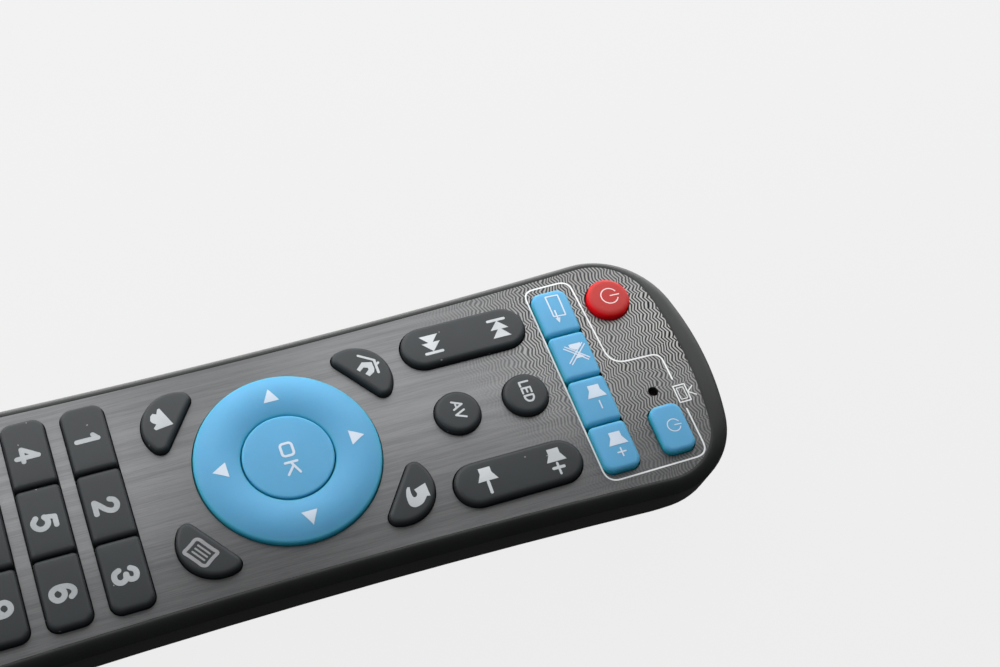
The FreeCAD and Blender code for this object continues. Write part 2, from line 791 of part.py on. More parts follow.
rear_plate_face = bay_rear + contact_thickness
front_plate_face = bay_front - contact_thickness
nodes["cell_left"] = cell(-cell_x, rear_plate_face, -1)
nodes["cell_right"] = cell(cell_x, front_plate_face, 1)


def biarc(start, t0, end, t1):
    """Two arcs from start to end that leave along t0, arrive along t1 and meet smoothly."""
    across = end - start
    total = t0 + t1
    reach = across.dot(total)
    bend = 2 * (1 - t0.dot(t1))
    handle = (math.sqrt(reach**2 + bend * across.dot(across)) - reach) / bend
    joint = (start + t0 * handle + end - t1 * handle) * 0.5
    arcs = []
    for a, b, knee in ((start, joint, start + t0 * handle), (joint, end, end - t1 * handle)):
        half = a.distanceToPoint(b) / 2
        middle = (a + b) * 0.5
        toward = knee - middle
        cosine = half / a.distanceToPoint(knee)
        rise = half * (1 - cosine) / math.sqrt(1 - cosine**2)
        arcs.append(Part.Arc(a, middle + toward.normalize() * rise, b).toShape())
    return arcs


def spring(x, base_y, toward):
    """Cone-shaped contact spring along Y: straight end, quarter bend, turns, quarter bend, straight end."""
    bend = spring_wire * 1.6
    straight = spring_wire * 1.2
    coil_length = spring_length - 2 * (bend + straight)
    quarters = spring_turns * 4

    def on_coil(q):
        share = q / quarters
        radius = spring_radius + (spring_tip_radius - spring_radius) * share
        angle = math.pi / 2 * q
        along = straight + bend + coil_length * share
        rate = 2 / math.pi / quarters
        drift = (spring_tip_radius - spring_radius) * rate
        climb = coil_length * rate
        point = V(radius * math.cos(angle), along, radius * math.sin(angle))
        heading = V(drift * math.cos(angle) - radius * math.sin(angle), climb,
                    drift * math.sin(angle) + radius * math.cos(angle))
        return point, heading.normalize()

    axis = V(0, 1, 0)
    first, first_heading = on_coil(0)
    last, last_heading = on_coil(quarters)
    foot_top = first - V(0, bend, 0) - first_heading * bend
    foot_top = V(foot_top.x, straight, foot_top.z)
    tip_start = last + last_heading * bend
    tip_start = V(tip_start.x, spring_length - straight, tip_start.z)
    edges = [Part.LineSegment(foot_top - axis * straight, foot_top).toShape()]
    edges += biarc(foot_top, axis, first, first_heading)
    for q in range(quarters):
        p0, h0 = on_coil(q)
        p1, h1 = on_coil(q + 1)
        edges += biarc(p0, h0, p1, h1)
    edges += biarc(last, last_heading, tip_start, axis)
    edges.append(Part.LineSegment(tip_start, tip_start + axis * straight).toShape())
    path = Part.Wire(edges)
    section = [
        foot_top - axis * straight + V(math.cos(math.pi / 3 * k), 0, math.sin(math.pi / 3 * k)) * (spring_wire / 2)
        for k in range(7)
    ]
    ring_wire = Part.makePolygon(section)
    coil = path.makePipeShell([ring_wire], True, False)
    samples = [on_coil(q / 4)[0] for q in range(quarters * 4 + 1)]
    gaps = [
        samples[i].distanceToPoint(samples[j]) - spring_wire
        for i in range(len(samples)) for j in range(i + 8, len(samples))
    ]
    print("least gap of the spring to itself, mm:", round(min(gaps), 2), "valid:", coil.isValid())
    if toward < 0:
        coil = coil.mirror(V(0, 0, 0), V(0, 1, 0))
    coil.translate(V(x, base_y, cell_z))
    return coil


def contact_plate(x, y0):
    half = contact_width / 2
    return block(x - half, x + half, y0, y0 + contact_thickness, contact_bottom, board_under)


front_plates_y = front_plate_face
nodes["front_spring_contact"] = joined([
    contact_plate(-cell_x, front_plates_y), spring(-cell_x, front_plate_face, -1)])
nodes["front_plate_contact"] = contact_plate(cell_x, front_plates_y)
bridge_half = cell_x + contact_width / 2
bridge = block(-bridge_half, bridge_half, bay_rear, rear_plate_face, bridge_bottom, roof_under - cell_floor_gap)
nodes["rear_bridge_contact"] = joined([bridge, spring(cell_x, rear_plate_face, 1)])

for name, shape in nodes.items():
    for solid in shape.Solids:
        if not solid.isValid():
            print("not valid:", name)
    shape.exportStep("parts/" + name + ".step")
print(len(nodes), "nodes")
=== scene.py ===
import math

import bmesh
import bpy
import numpy as np
from mathutils import Matrix, Vector


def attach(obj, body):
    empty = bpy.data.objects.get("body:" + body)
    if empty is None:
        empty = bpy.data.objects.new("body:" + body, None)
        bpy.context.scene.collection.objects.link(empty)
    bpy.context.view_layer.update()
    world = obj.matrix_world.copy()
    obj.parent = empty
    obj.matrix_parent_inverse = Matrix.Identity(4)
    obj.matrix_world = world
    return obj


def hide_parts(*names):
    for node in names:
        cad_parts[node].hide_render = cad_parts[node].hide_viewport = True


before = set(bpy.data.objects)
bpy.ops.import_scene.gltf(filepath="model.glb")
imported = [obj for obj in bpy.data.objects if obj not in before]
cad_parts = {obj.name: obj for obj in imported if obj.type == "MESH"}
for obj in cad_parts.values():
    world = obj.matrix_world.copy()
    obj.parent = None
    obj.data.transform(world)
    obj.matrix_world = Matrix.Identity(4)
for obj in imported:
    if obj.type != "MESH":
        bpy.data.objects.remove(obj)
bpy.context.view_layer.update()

# Top shell: the moulded black plastic rim round the face, with the deck that the keys come through
# and the lip that plugs into the bottom shell. Its outside is spark-eroded to a fine matt grain.


def arc_between(centre, start, end, count):
    """Points on the shorter arc about centre from start to end: the angle runs evenly."""
    a0 = math.atan2(start[1] - centre[1], start[0] - centre[0])
    a1 = math.atan2(end[1] - centre[1], end[0] - centre[0])
    a1 += 2 * math.pi * round((a0 - a1) / (2 * math.pi))
    angle = np.linspace(a0, a1, count)
    radius = math.dist(centre, start)
    return np.stack([centre[0] + radius * np.cos(angle), centre[1] + radius * np.sin(angle)], -1)


half_waist, half_length, side_arc = 21.65, 82.5, 1362.9


def hourglass(side, front, rear, corner, nose, split=-20.575):
    """Outline of the body in mm, pulled in by side, front and rear: hollow side arcs, corner arcs that
    touch them, and slightly domed ends. Runs anticlockwise from the middle of the rear end."""
    side_centre = np.array([half_waist + side_arc, 0.0])
    reach = side_arc + side
    half = []
    for sign, inset in ((-1, rear), (1, front)):
        tip = half_length - inset
        nose_centre = np.array([0.0, tip - nose])
        apart = np.linalg.norm(nose_centre - side_centre)
        r1, r2 = reach + corner, nose - corner
        along = (r1**2 - r2**2 + apart**2) / (2 * apart)
        axis = (nose_centre - side_centre) / apart
        centre = side_centre + axis * along + np.array([axis[1], -axis[0]]) * math.sqrt(r1**2 - along**2)
        on_side = side_centre + (centre - side_centre) / np.linalg.norm(centre - side_centre) * reach
        on_nose = nose_centre + (centre - nose_centre) / np.linalg.norm(centre - nose_centre) * nose
        end = arc_between(nose_centre, (0.0, tip), on_nose, 12)
        turn = arc_between(centre, on_nose, on_side, 18)
        run = np.concatenate([end[:-1], turn]) * (1, sign)
        half.append(run if sign < 0 else run[::-1])
    low, high = half[0][-1, 1], half[1][0, 1]
    y = np.concatenate([np.linspace(low, split, 13)[1:], np.linspace(split, high, 21)[1:-1]])
    x = side_centre[0] - np.sqrt(reach**2 - y**2)
    right = np.concatenate([half[0], np.stack([x, y], -1), half[1]])
    return np.concatenate([right, (right * (-1, 1))[-2:0:-1]])


def level(z, side, front, rear, corner, nose):
    """The outline at a height: a ring of points."""
    flat = hourglass(side, front, rear, corner, nose)
    return np.column_stack([flat, np.full(len(flat), z)])


def parallel(z, inset):
    """Outline the same distance inside the widest line all round."""
    return level(z, inset, inset, inset, 14.5 - inset, 52.0 - inset)


def build(name, shells, loops=(), sharp=40):
    """Object from stacks of rings in mm. Neighbouring rings are joined by four-sided faces; a stack's two
    end rings are shut by a face each, and a loop's last ring is joined to its first instead."""
    points, faces, start = [], [], 0
    for rings, loop in [(s, False) for s in shells] + [(s, True) for s in loops]:
        rings = np.asarray(rings, float)
        count, around = rings.shape[:2]
        index = start + np.arange(count * around).reshape(count, around)
        lower, upper = (index, np.roll(index, -1, 0)) if loop else (index[:-1], index[1:])
        quads = np.stack([lower, np.roll(lower, -1, 1), np.roll(upper, -1, 1), upper], -1)
        faces += quads.reshape(-1, 4).tolist()
        if not loop:
            faces += [index[0, ::-1].tolist(), index[-1].tolist()]
        points.append(rings.reshape(-1, 3))
        start += count * around
    mesh = bpy.data.meshes.new(name)
    mesh.from_pydata((np.concatenate(points) * 0.001).tolist(), [], faces)
    mesh.shade_smooth()
    mesh.set_sharp_from_angle(angle=math.radians(sharp))
    piece = bpy.data.objects.new(name, mesh)
    bpy.context.scene.collection.objects.link(piece)
    return piece


def plate(name, outer, holes, z0, z1, edge):
    """Object from a flat outline with holes, drawn as a flat curve in mm, raised from z0 to z1 with its
    edges rounded by edge, then made a mesh."""
    curve = bpy.data.curves.new(name, "CURVE")
    curve.dimensions = "2D"
    curve.fill_mode = "BOTH"
    curve.extrude = (z1 - z0) / 2 - edge
    curve.bevel_depth = edge
    curve.bevel_resolution = 2
    curve.offset = -edge
    for line in [outer] + list(holes):
        spline = curve.splines.new("POLY")
        spline.points.add(len(line) - 1)
        spots = np.column_stack([line, np.zeros(len(line)), np.ones(len(line))])
        spline.points.foreach_set("co", spots.ravel())
        spline.use_cyclic_u = True
    drawn = bpy.data.objects.new(name + "_line", curve)
    bpy.context.scene.collection.objects.link(drawn)
    mesh = bpy.data.meshes.new_from_object(drawn)
    bpy.data.objects.remove(drawn)
    merged = bmesh.new()
    merged.from_mesh(mesh)
    bmesh.ops.remove_doubles(merged, verts=merged.verts, dist=0.0005)
    bmesh.ops.recalc_face_normals(merged, faces=merged.faces)
    merged.to_mesh(mesh)
    merged.free()
    mesh.transform(Matrix.Translation((0, 0, (z0 + z1) / 2)))
    mesh.transform(Matrix.Scale(0.001, 4))
    mesh.shade_smooth()
    mesh.set_sharp_from_angle(angle=math.radians(8))
    piece = bpy.data.objects.new(name, mesh)
    bpy.context.scene.collection.objects.link(piece)
    return piece


def arcs_line(arcs, grow=0.0, turn=9, run=7):
    """Closed line of arcs (x, y, radius, from, to) joined by straight runs, each arc's radius widened by
    grow. Points that fall together are left out, the same ones for every grow."""
    arcs = np.asarray(arcs, float)
    share = np.linspace(0, 1, turn)

    def corners(extra):
        angle = arcs[:, 3:4] + (arcs[:, 4:5] - arcs[:, 3:4]) * share
        radius = np.maximum(arcs[:, 2:3] + extra, 0.03)
        return np.stack([arcs[:, 0:1] + radius * np.cos(angle), arcs[:, 1:2] + radius * np.sin(angle)], -1)

    def with_runs(bends):
        gap = np.linspace(0, 1, run)[1:-1, None]
        runs = bends[:, -1:, :] * (1 - gap) + np.roll(bends, -1, 0)[:, :1, :] * gap
        return np.concatenate([bends, runs], 1).reshape(-1, 2)

    plain = with_runs(corners(0.0))
    apart = np.linalg.norm(plain - np.roll(plain, 1, 0), axis=1) > 0.004
    return with_runs(corners(grow))[apart]


def bar(x, y, width, length, left, right):
    """Footprint of a bar-shaped key with rounded corners: a function of how far it is widened."""
    corners = []
    for sx, sy, radius, a in ((1, -1, right, -0.5), (1, 1, right, 0), (-1, 1, left, 0.5), (-1, -1, left, 1)):
        cx = x + sx * (width / 2 - radius)
        cy = y + sy * (length / 2 - radius)
        corners.append((cx, cy, radius, a * math.pi, (a + 0.5) * math.pi))
    return lambda grow=0.0: arcs_line(corners, grow)


def circle(x, y, radius):
    """Footprint of a round key."""
    return lambda grow=0.0: arcs_line([(x, y, radius, 0, 2 * math.pi)], grow, turn=65, run=2)


# corner keys: radius of the round side, corner radius and distance from the ring's middle, in mm, of
# the cap and of the flange under it
ring_y, ring_radius = 8.1, 14.9
moon_cap = (5.95, 1.4, 18.09)
moon_flange = (6.28, 1.2, 17.76)


def half_moon(sx, sy, round_side, corner, from_ring):
    """Footprint of a corner key: half a disc with rounded corners, its straight side leaning 36.4
    degrees towards the direction ring, its centre from_ring mm from the ring's."""
    lean = math.radians(36.4)
    reach = math.sqrt((round_side - corner) ** 2 - corner**2)
    tilt = math.atan2(corner, reach)
    arcs = [(reach, corner, corner, -math.pi / 2, tilt), (0, 0, round_side, tilt, math.pi - tilt),
            (-reach, corner, corner, math.pi - tilt, 1.5 * math.pi)]
    chord = np.array([math.cos(lean), -math.sin(lean)])
    outward = np.array([math.sin(lean), math.cos(lean)])
    middle = outward * from_ring - chord * 0.29

    def line(grow=0.0):
        local = arcs_line(arcs, grow, turn=22, run=20)
        flat = (middle + local[:, :1] * chord + local[:, 1:] * outward) * (sx, sy) + (0, ring_y)
        return flat if sx * sy > 0 else flat[::-1]

    return line


# the other keys' places and sizes, and the openings: the line of a key or row, wider by the gap round it
number_rows = [ring_y - 28.85 - 9.3 * i for i in range(4)]
number_pitch, number_length, number_corner = 12.0, 6.7, 1.75
tv_row_y, tv_pitch, tv_length, tv_corner = 59.4, 8.96, 6.45, 1.7
between_keys = 0.36
power_foot = circle(-13.64, 69.4, 3.75)
tv_power_foot = bar(12.96, 70.0, 8.85, 5.7, 1.7, 1.7)
round_feet = {"led_key": circle(0, 48.8, 3.8), "round_key": circle(0, 36.8, 3.8)}
rocker_x, rocker_y = 13.18, 42.5
rocker_feet = [bar(x, rocker_y, 7.57, 21.8, 3.784, 3.784) for x in (-rocker_x, rocker_x)]
lamp_hole = circle(5.3, 70.0, 0.875)
slit = 0.2
tv_row_foot = bar(0, tv_row_y, 4 * tv_pitch - between_keys, tv_length, tv_corner, tv_corner)
number_width = 3 * number_pitch - between_keys
openings = [foot(slit) for foot in (tv_row_foot, tv_power_foot, power_foot)]
openings += [foot(slit) for foot in round_feet.values()]
openings += [foot(0.25) for foot in rocker_feet]
openings += [circle(0, ring_y, ring_radius)(slit), lamp_hole(0.0)]
openings += [half_moon(sx, sy, *moon_cap)(slit) for sx in (1, -1) for sy in (1, -1)]
openings += [bar(0, y, number_width, number_length, number_corner, number_corner)(slit) for y in number_rows]

# side, front, rear, corner and nose of the widest line and of the face's edge. The rim goes from one
# to the other along a quarter of an oval, flatter than an ellipse.
seam_line = np.array([0, 0, 0, 14.5, 52.0])
rim_line = np.array([1.7, 3.9, 3.0, 10.5, 72.0])
further_in = np.array([1, 1, 1, -1, -1])
seam_z, face_z, fullness = 15.5, 17.6, 1.45
rim = [parallel(seam_z, 0.14), parallel(seam_z + 0.04, 0.04)]
for turn in np.radians(np.linspace(4, 90, 16)):
    across, up = 1 - math.cos(turn) ** fullness, math.sin(turn) ** fullness
    rim.append(level(seam_z + (face_z - seam_z) * up, *(seam_line + (rim_line - seam_line) * across)))
for inset, z in ((0.3, face_z), (0.35, 17.57), (0.35, 17.15), (0.35, 16.1)):
    rim.append(level(z, *(rim_line + further_in * inset)))
rim += [parallel(16.1, 2.55), parallel(13.85, 2.55), parallel(13.85, 1.65), parallel(seam_z, 1.65)]
posts = []
for x, y, radius in ((-2.5, 70.0, 1.5), (-16.9, -0.5, 1.5), (16.9, -0.5, 1.5), (0, -56.7, 1.9)):
    foot = circle(x, y, radius)()
    low = 14.0 if radius < 1.8 else 12.95
    posts.append([np.column_stack([foot, np.full(len(foot), z)]) for z in (low, 16.15)])
top_rim = build("top_shell_rim", posts, [rim])
top_deck = plate("top_shell_deck", hourglass(*(rim_line + further_in * 0.25)), openings, 16.1, 17.18, 0.05)


def add(tree, kind, inputs=None, **settings):
    """Shader node in a tree; each input is a value or another node's socket."""
    made = tree.nodes.new("ShaderNode" + kind)
    for key, value in settings.items():
        setattr(made, key, value)
    for key, value in (inputs or {}).items():
        if isinstance(value, bpy.types.NodeSocket):
            tree.links.new(value, made.inputs[key])
        else:
            made.inputs[key].default_value = value
    return made


def group(name, values, results):
    """Empty shader node group with named number inputs and named outputs."""
    tree = bpy.data.node_groups.new(name, "ShaderNodeTree")
    for title, value in values.items():
        socket = tree.interface.new_socket(title, in_out="INPUT", socket_type="NodeSocketFloat")
        socket.default_value = value
    for title, kind in results.items():
        tree.interface.new_socket(title, in_out="OUTPUT", socket_type="NodeSocket" + kind)
    return tree, tree.nodes.new("NodeGroupInput").outputs, tree.nodes.new("NodeGroupOutput").inputs


def finish_of(name, roughness, **plain):
    """Material with one Principled shader, and its tree; plain values go on the shader's own sockets."""
    material = bpy.data.materials.new(name)
    material.use_nodes = True
    tree = material.node_tree
    shader = tree.nodes["Principled BSDF"]
    shader.inputs["Roughness"].default_value = roughness
    for key, value in plain.items():
        shader.inputs[key.replace("_", " ")].default_value = value
    return material, tree, shader


def maths(tree, operation, *values):
    """Result of a math node on up to three numbers or sockets."""
    return add(tree, "Math", dict(enumerate(values)), operation=operation).outputs[0]


def ramp(tree, value, low, high, start=0.0, end=1.0, kind="LINEAR"):
    """Result of a map range node: from start to end while value goes from low to high."""
    limits = {"Value": value, "From Min": low, "From Max": high, "To Min": start, "To Max": end}
    return add(tree, "MapRange", limits, interpolation_type=kind).outputs[0]


def blend(tree, share, first, second):
    """Colour between two colours, each three numbers or a socket."""
    ends = [c if isinstance(c, bpy.types.NodeSocket) else (*c, 1) for c in (first, second)]
    mixed = add(tree, "Mix", {"Factor": share, "A": ends[0], "B": ends[1]}, data_type="RGBA")
    return mixed.outputs["Result"]


def in_mm(tree):
    """Object coordinates in millimetres."""
    place = add(tree, "TexCoord").outputs["Object"]
    return add(tree, "VectorMath", {0: place, "Scale": 1000.0}, operation="SCALE").outputs[0]


# fine grain of moulded plastic and rubber: two sizes of noise, added, as a height and as a mottled tone
moulded_grain, given, gives = group("moulded_grain", {"Size": 0.2}, {"Height": "Float", "Tone": "Float"})
fineness = maths(moulded_grain, "DIVIDE", 1.0, given["Size"])
place = in_mm(moulded_grain)
fine = add(moulded_grain, "TexNoise", {"Vector": place, "Scale": fineness, "Detail": 3.0, "Roughness": 0.6})
wide = add(moulded_grain, "TexNoise", {"Vector": place, "Scale": 0.12, "Detail": 2.0, "Roughness": 0.5})
moulded_grain.links.new(fine.outputs["Fac"], gives["Height"])
both = maths(moulded_grain, "MULTIPLY_ADD", fine.outputs["Fac"], 0.35, wide.outputs["Fac"])
moulded_grain.links.new(both, gives["Tone"])

# dust: a few small pale flecks where a cell noise comes close to its points
dust_flecks, given, gives = group("dust_flecks", {"Spacing": 1.5, "Size": 0.05}, {"Mask": "Float"})
place = in_mm(dust_flecks)
how_fine = maths(dust_flecks, "DIVIDE", 1.0, given["Spacing"])
bent = add(dust_flecks, "TexNoise", {"Vector": place, "Scale": 2.0})
shaken = add(dust_flecks, "VectorMath", {0: bent.outputs["Color"], "Scale": 0.4}, operation="SCALE")
moved = add(dust_flecks, "VectorMath", {0: place, 1: shaken.outputs[0]}, operation="ADD")
cells = add(dust_flecks, "TexVoronoi", {"Vector": moved.outputs[0], "Scale": how_fine})
near = maths(dust_flecks, "LESS_THAN", cells.outputs["Distance"], given["Size"])
dust_flecks.links.new(near, gives["Mask"])


def grained(name, colour, pale, roughness, size, bump, dust=0.0, dust_spacing=1.5, **plain):
    """Material with a moulded grain: the colour wanders a little to pale, the grain roughens and bumps
    the surface, and dust gives small light flecks."""
    material, tree, shader = finish_of(name, roughness, **plain)
    grain = add(tree, "Group", node_tree=moulded_grain)
    grain.inputs["Size"].default_value = size
    top = blend(tree, ramp(tree, grain.outputs["Tone"], 0.5, 0.85), colour, pale)
    if dust:
        flecks = add(tree, "Group", node_tree=dust_flecks)
        flecks.inputs["Size"].default_value = 0.045
        flecks.inputs["Spacing"].default_value = dust_spacing
        top = blend(tree, maths(tree, "MULTIPLY", flecks.outputs["Mask"], dust), top, (0.75, 0.72, 0.7))
    tree.links.new(top, shader.inputs["Base Color"])
    rough = ramp(tree, grain.outputs["Height"], 0.3, 0.7, roughness - 0.06, roughness + 0.08)
    tree.links.new(rough, shader.inputs["Roughness"])
    bumped = add(tree, "Bump", {"Height": grain.outputs["Height"], "Strength": bump, "Distance": 0.00003})
    tree.links.new(bumped.outputs[0], shader.inputs["Normal"])
    return material


housing_plastic = grained("housing_plastic", (0.0125, 0.0145, 0.0135), (0.018, 0.0205, 0.0195), 0.46,
                          0.12, 0.3, Specular_IOR_Level=0.33)
for piece in (top_rim, top_deck):
    piece.data.materials.append(housing_plastic)
    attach(piece, "case")
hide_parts("top_shell")

# Face panel: a thin metallic plate stuck into the recess of the top shell. It is brushed along the
# length, and towards the head the brushing turns into fine zigzag lines across it.

panel_line = hourglass(2.08, 4.28, 3.38, 10.12, 71.7)
panel = plate("face_panel_plate", panel_line, openings, 17.2, face_z, 0.02)

# brushing: noise drawn out along the length, at two widths
brushed_lines, given, gives = group("brushed_lines", {"Width": 0.12}, {"Height": "Float", "Tone": "Float"})
place = in_mm(brushed_lines)
drawn = add(brushed_lines, "VectorMath", {0: place, 1: (1.0, 0.02, 1.0)}, operation="MULTIPLY").outputs[0]
fineness = maths(brushed_lines, "DIVIDE", 1.0, given["Width"])
hair = add(brushed_lines, "TexNoise", {"Vector": drawn, "Scale": fineness, "Detail": 4.0, "Roughness": 0.7})
broad = add(brushed_lines, "TexNoise", {"Vector": drawn, "Scale": 1.1, "Detail": 2.0})
brushed_lines.links.new(hair.outputs["Fac"], gives["Height"])
mixed = maths(brushed_lines, "MULTIPLY_ADD", broad.outputs["Fac"], 0.5, hair.outputs["Fac"])
brushed_lines.links.new(mixed, gives["Tone"])

# zigzag: a wave of the length whose phase follows a to-and-fro line across, in strips across the width
# that don't quite meet; it is strongest at the head and a little left of the middle
zigzag_lines, given, gives = group("zigzag_lines", {"Pitch": 0.6}, {"Wave": "Float", "Strength": "Float"})
place = in_mm(zigzag_lines)
axes = add(zigzag_lines, "SeparateXYZ", {0: place}).outputs
sway = add(zigzag_lines, "TexNoise", {"Vector": place, "Scale": 0.16, "Detail": 2.0}).outputs["Fac"]
swayed = maths(zigzag_lines, "MULTIPLY_ADD", sway, 5.0, axes["X"])
to_and_fro = maths(zigzag_lines, "PINGPONG", swayed, 1.1)
lifted = maths(zigzag_lines, "MULTIPLY_ADD", to_and_fro, 0.5, axes["Y"])
swell = maths(zigzag_lines, "MULTIPLY_ADD", sway, 1.6, lifted)
strip = maths(zigzag_lines, "FLOOR", maths(zigzag_lines, "DIVIDE", swayed, 3.7))
missed = add(zigzag_lines, "TexWhiteNoise", {"W": strip}, noise_dimensions="1D").outputs["Value"]
shifted = maths(zigzag_lines, "MULTIPLY_ADD", missed, 0.45, swell)
turns = maths(zigzag_lines, "DIVIDE", shifted, given["Pitch"])
wave = maths(zigzag_lines, "SINE", maths(zigzag_lines, "MULTIPLY", turns, 2 * math.pi))
zigzag_lines.links.new(ramp(zigzag_lines, wave, -0.6, 0.6), gives["Wave"])
slanted = maths(zigzag_lines, "MULTIPLY_ADD", axes["X"], -0.35, axes["Y"])
fade = ramp(zigzag_lines, slanted, 39.0, 67.0, kind="SMOOTHSTEP")
patch = add(zigzag_lines, "TexNoise", {"Vector": place, "Scale": 0.09, "Detail": 1.0}).outputs["Fac"]
patchy = ramp(zigzag_lines, patch, 0.35, 0.6, 0.7, 1.0)
aside = maths(zigzag_lines, "ABSOLUTE", maths(zigzag_lines, "ADD", axes["X"], 7.0))
narrowed = ramp(zigzag_lines, aside, 8.0, 22.0, 1.0, 0.35)
strong = maths(zigzag_lines, "MULTIPLY", maths(zigzag_lines, "MULTIPLY", fade, patchy), narrowed)
zigzag_lines.links.new(strong, gives["Strength"])

# painted light and shade: the plate's colour is painted darker near the ring and lighter along its middle,
# for how the light falls on it
brushed_panel, tree, shader = finish_of("brushed_panel", 0.42, Metallic=1.0)
lines = add(tree, "Group", node_tree=brushed_lines).outputs
zigzag = add(tree, "Group", node_tree=zigzag_lines).outputs
base = blend(tree, ramp(tree, lines["Tone"], 0.6, 0.88), (0.112, 0.114, 0.117), (0.158, 0.16, 0.163))
stripes = blend(tree, zigzag["Wave"], (0.006, 0.006, 0.006), (0.26, 0.26, 0.256))
face = blend(tree, zigzag["Strength"], base, stripes)
axes = add(tree, "SeparateXYZ", {0: in_mm(tree)}).outputs
# painted shade: the colour falls to 0.76 towards the ring
painted_shade_near_ring = ramp(tree, maths(tree, "ABSOLUTE", axes["Y"]), 2.0, 26.0, 0.76, kind="SMOOTHSTEP")
# painted highlight: the colour is raised along the middle
from_middle = maths(tree, "ABSOLUTE", maths(tree, "ADD", axes["X"], 3.0))
painted_light_along_middle = ramp(tree, from_middle, 4.0, 21.0, 1.25, 0.93, "SMOOTHSTEP")
painted_light_and_shade = maths(tree, "MULTIPLY", painted_shade_near_ring, painted_light_along_middle)
painted_face_colour = add(tree, "VectorMath", {0: face, "Scale": painted_light_and_shade}, operation="SCALE")
tree.links.new(painted_face_colour.outputs[0], shader.inputs["Base Color"])
tree.links.new(ramp(tree, lines["Height"], 0.3, 0.7, 0.41, 0.56), shader.inputs["Roughness"])
relief = add(tree, "Bump", {"Height": lines["Height"], "Strength": 0.35, "Distance": 0.00004})
tree.links.new(relief.outputs[0], shader.inputs["Normal"])
panel.data.materials.append(brushed_panel)
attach(panel, "case")
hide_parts("face_panel")

# Push keys: moulded silicone caps with rounded edges, each with a thin flange under the face and a
# contact pill over the board. The coloured ones are dyed through, the dark ones have a soft coating.


def cap_height(x, y, wide, long, top, dome):
    """Height of a key's top: a flat bowl turned over, dome mm lower at its edge than in its middle."""
    return lambda px, py: top - dome * (((px - x) / wide) ** 2 + ((py - y) / long) ** 2)


def cap(foot, height, under, edge, drop):
    """Rings of a key's cap: straight up from under, round over the edge by a quarter of an ellipse edge
    wide and drop high, then in to the middle along the domed top."""
    base = foot(0.0)
    middle = (base.max(0) + base.min(0)) / 2
    rings = [np.column_stack([base, np.full(len(base), under)])]
    for turn in np.radians(np.linspace(0, 90, 9)):
        line = foot(-edge * (1 - math.cos(turn)))
        z = height(line[:, 0], line[:, 1]) - drop * (1 - math.sin(turn))
        rings.append(np.column_stack([line, z]))
    for share in (0.86, 0.7, 0.5, 0.3, 0.12, 0.01):
        inner = middle + (line - middle) * share
        rings.append(np.column_stack([inner, height(inner[:, 0], inner[:, 1])]))
    return rings


def pad(foot, z0, z1):
    """Rings of a flat pad of a footprint between two heights."""
    return [np.column_stack([foot, np.full(len(foot), z)]) for z in (z0, z1)]


def dress(piece, node, colour):
    """Gives a piece its material and puts it on the body of the node that it stands for."""
    piece.data.materials.append(colour)
    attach(piece, node)
    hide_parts(node)


tops = {}
key_top, flange_top, under_cap, pill_end = 18.9, 16.05, 15.55, 14.9


def press_key(name, foot, dome, colour, flange, top=key_top, edge=0.75, drop=0.62):
    """One key that is pressed straight down. The height of its top is kept in tops, for its print."""
    line = foot(0.0)
    low, high = line.min(0), line.max(0)
    tops[name] = cap_height(*((low + high) / 2), *((high - low) / 2), top, dome)
    pill = bar(*((flange.min(0) + flange.max(0)) / 2), 3.6, 3.6, 0.2, 0.2)(0.0)
    shells = [cap(foot, tops[name], under_cap, edge, drop), pad(flange, under_cap, flange_top),
              pad(pill, pill_end, under_cap)]
    dress(build(name + "_cap", shells), name, colour)


def dyed_rubber(name, top, painted_side_colour, spread, roughness, dust, high, low, shine):
    """Dyed silicone with a fine grain; painted shade: a deeper colour below the height low than above high.
    """
    material = grained(name, top, tuple(c * 1.06 for c in top), roughness, 0.16, 0.18, dust=dust,
                       Subsurface_Weight=0.6, Subsurface_Radius=spread, Subsurface_Scale=0.0018,
                       Specular_IOR_Level=shine)
    tree = material.node_tree
    shader = tree.nodes["Principled BSDF"]
    seen = shader.inputs["Base Color"].links[0].from_socket
    axes = add(tree, "SeparateXYZ", {0: in_mm(tree)}).outputs
    # painted shade on the key's sides: the colour turns deeper from the height high down to low
    painted_side_share = ramp(tree, axes["Z"], high, low, kind="SMOOTHSTEP")
    tree.links.new(blend(tree, painted_side_share, seen, painted_side_colour), shader.inputs["Base Color"])
    return material


dark_rubber = grained("dark_rubber", (0.0155, 0.0198, 0.0226), (0.019, 0.0242, 0.0276), 0.48, 0.14, 0.3,
                      dust=0.3, dust_spacing=3.2, Specular_IOR_Level=0.42)
# each second colour is painted shade on the keys' sides, between the two heights given
blue_rubber = dyed_rubber("blue_rubber", (0.112, 0.378, 0.62), (0.035, 0.44, 0.6), (0.2, 0.7, 1.0),
                          0.5, 0.15, 18.85, 17.9, 0.27)
red_rubber = dyed_rubber("red_rubber", (0.46, 0.046, 0.042), (0.85, 0.002, 0.008), (1.0, 0.2, 0.15),
                         0.45, 0.3, 19.1, 18.55, 0.16)


def box_line(foot, reach_x, reach_y=0.8):
    """Rectangle round a key's footprint."""
    line = foot(0.0)
    low, high = line.min(0) - (reach_x, reach_y), line.max(0) + (reach_x, reach_y)
    (x, y), (wide, long) = (low + high) / 2, high - low
    return bar(x, y, wide, long, 0.15, 0.15)(0.0)


press_key("power_key", power_foot, 0.16, red_rubber, box_line(power_foot, 0.8), top=19.2,
          edge=0.95, drop=0.75)
press_key("tv_power_key", tv_power_foot, 0.07, blue_rubber, box_line(tv_power_foot, 0.8))
for name, foot in round_feet.items():
    press_key(name, foot, 0.1, dark_rubber, box_line(foot, 0.8))
for name, sx, sy in (("home_key", -1, 1), ("back_key", 1, 1), ("pointer_key", -1, -1), ("menu_key", 1, -1)):
    flange = half_moon(sx, sy, *moon_flange)(0.8)
    press_key(name, half_moon(sx, sy, *moon_cap), 0.08, dark_rubber, flange)


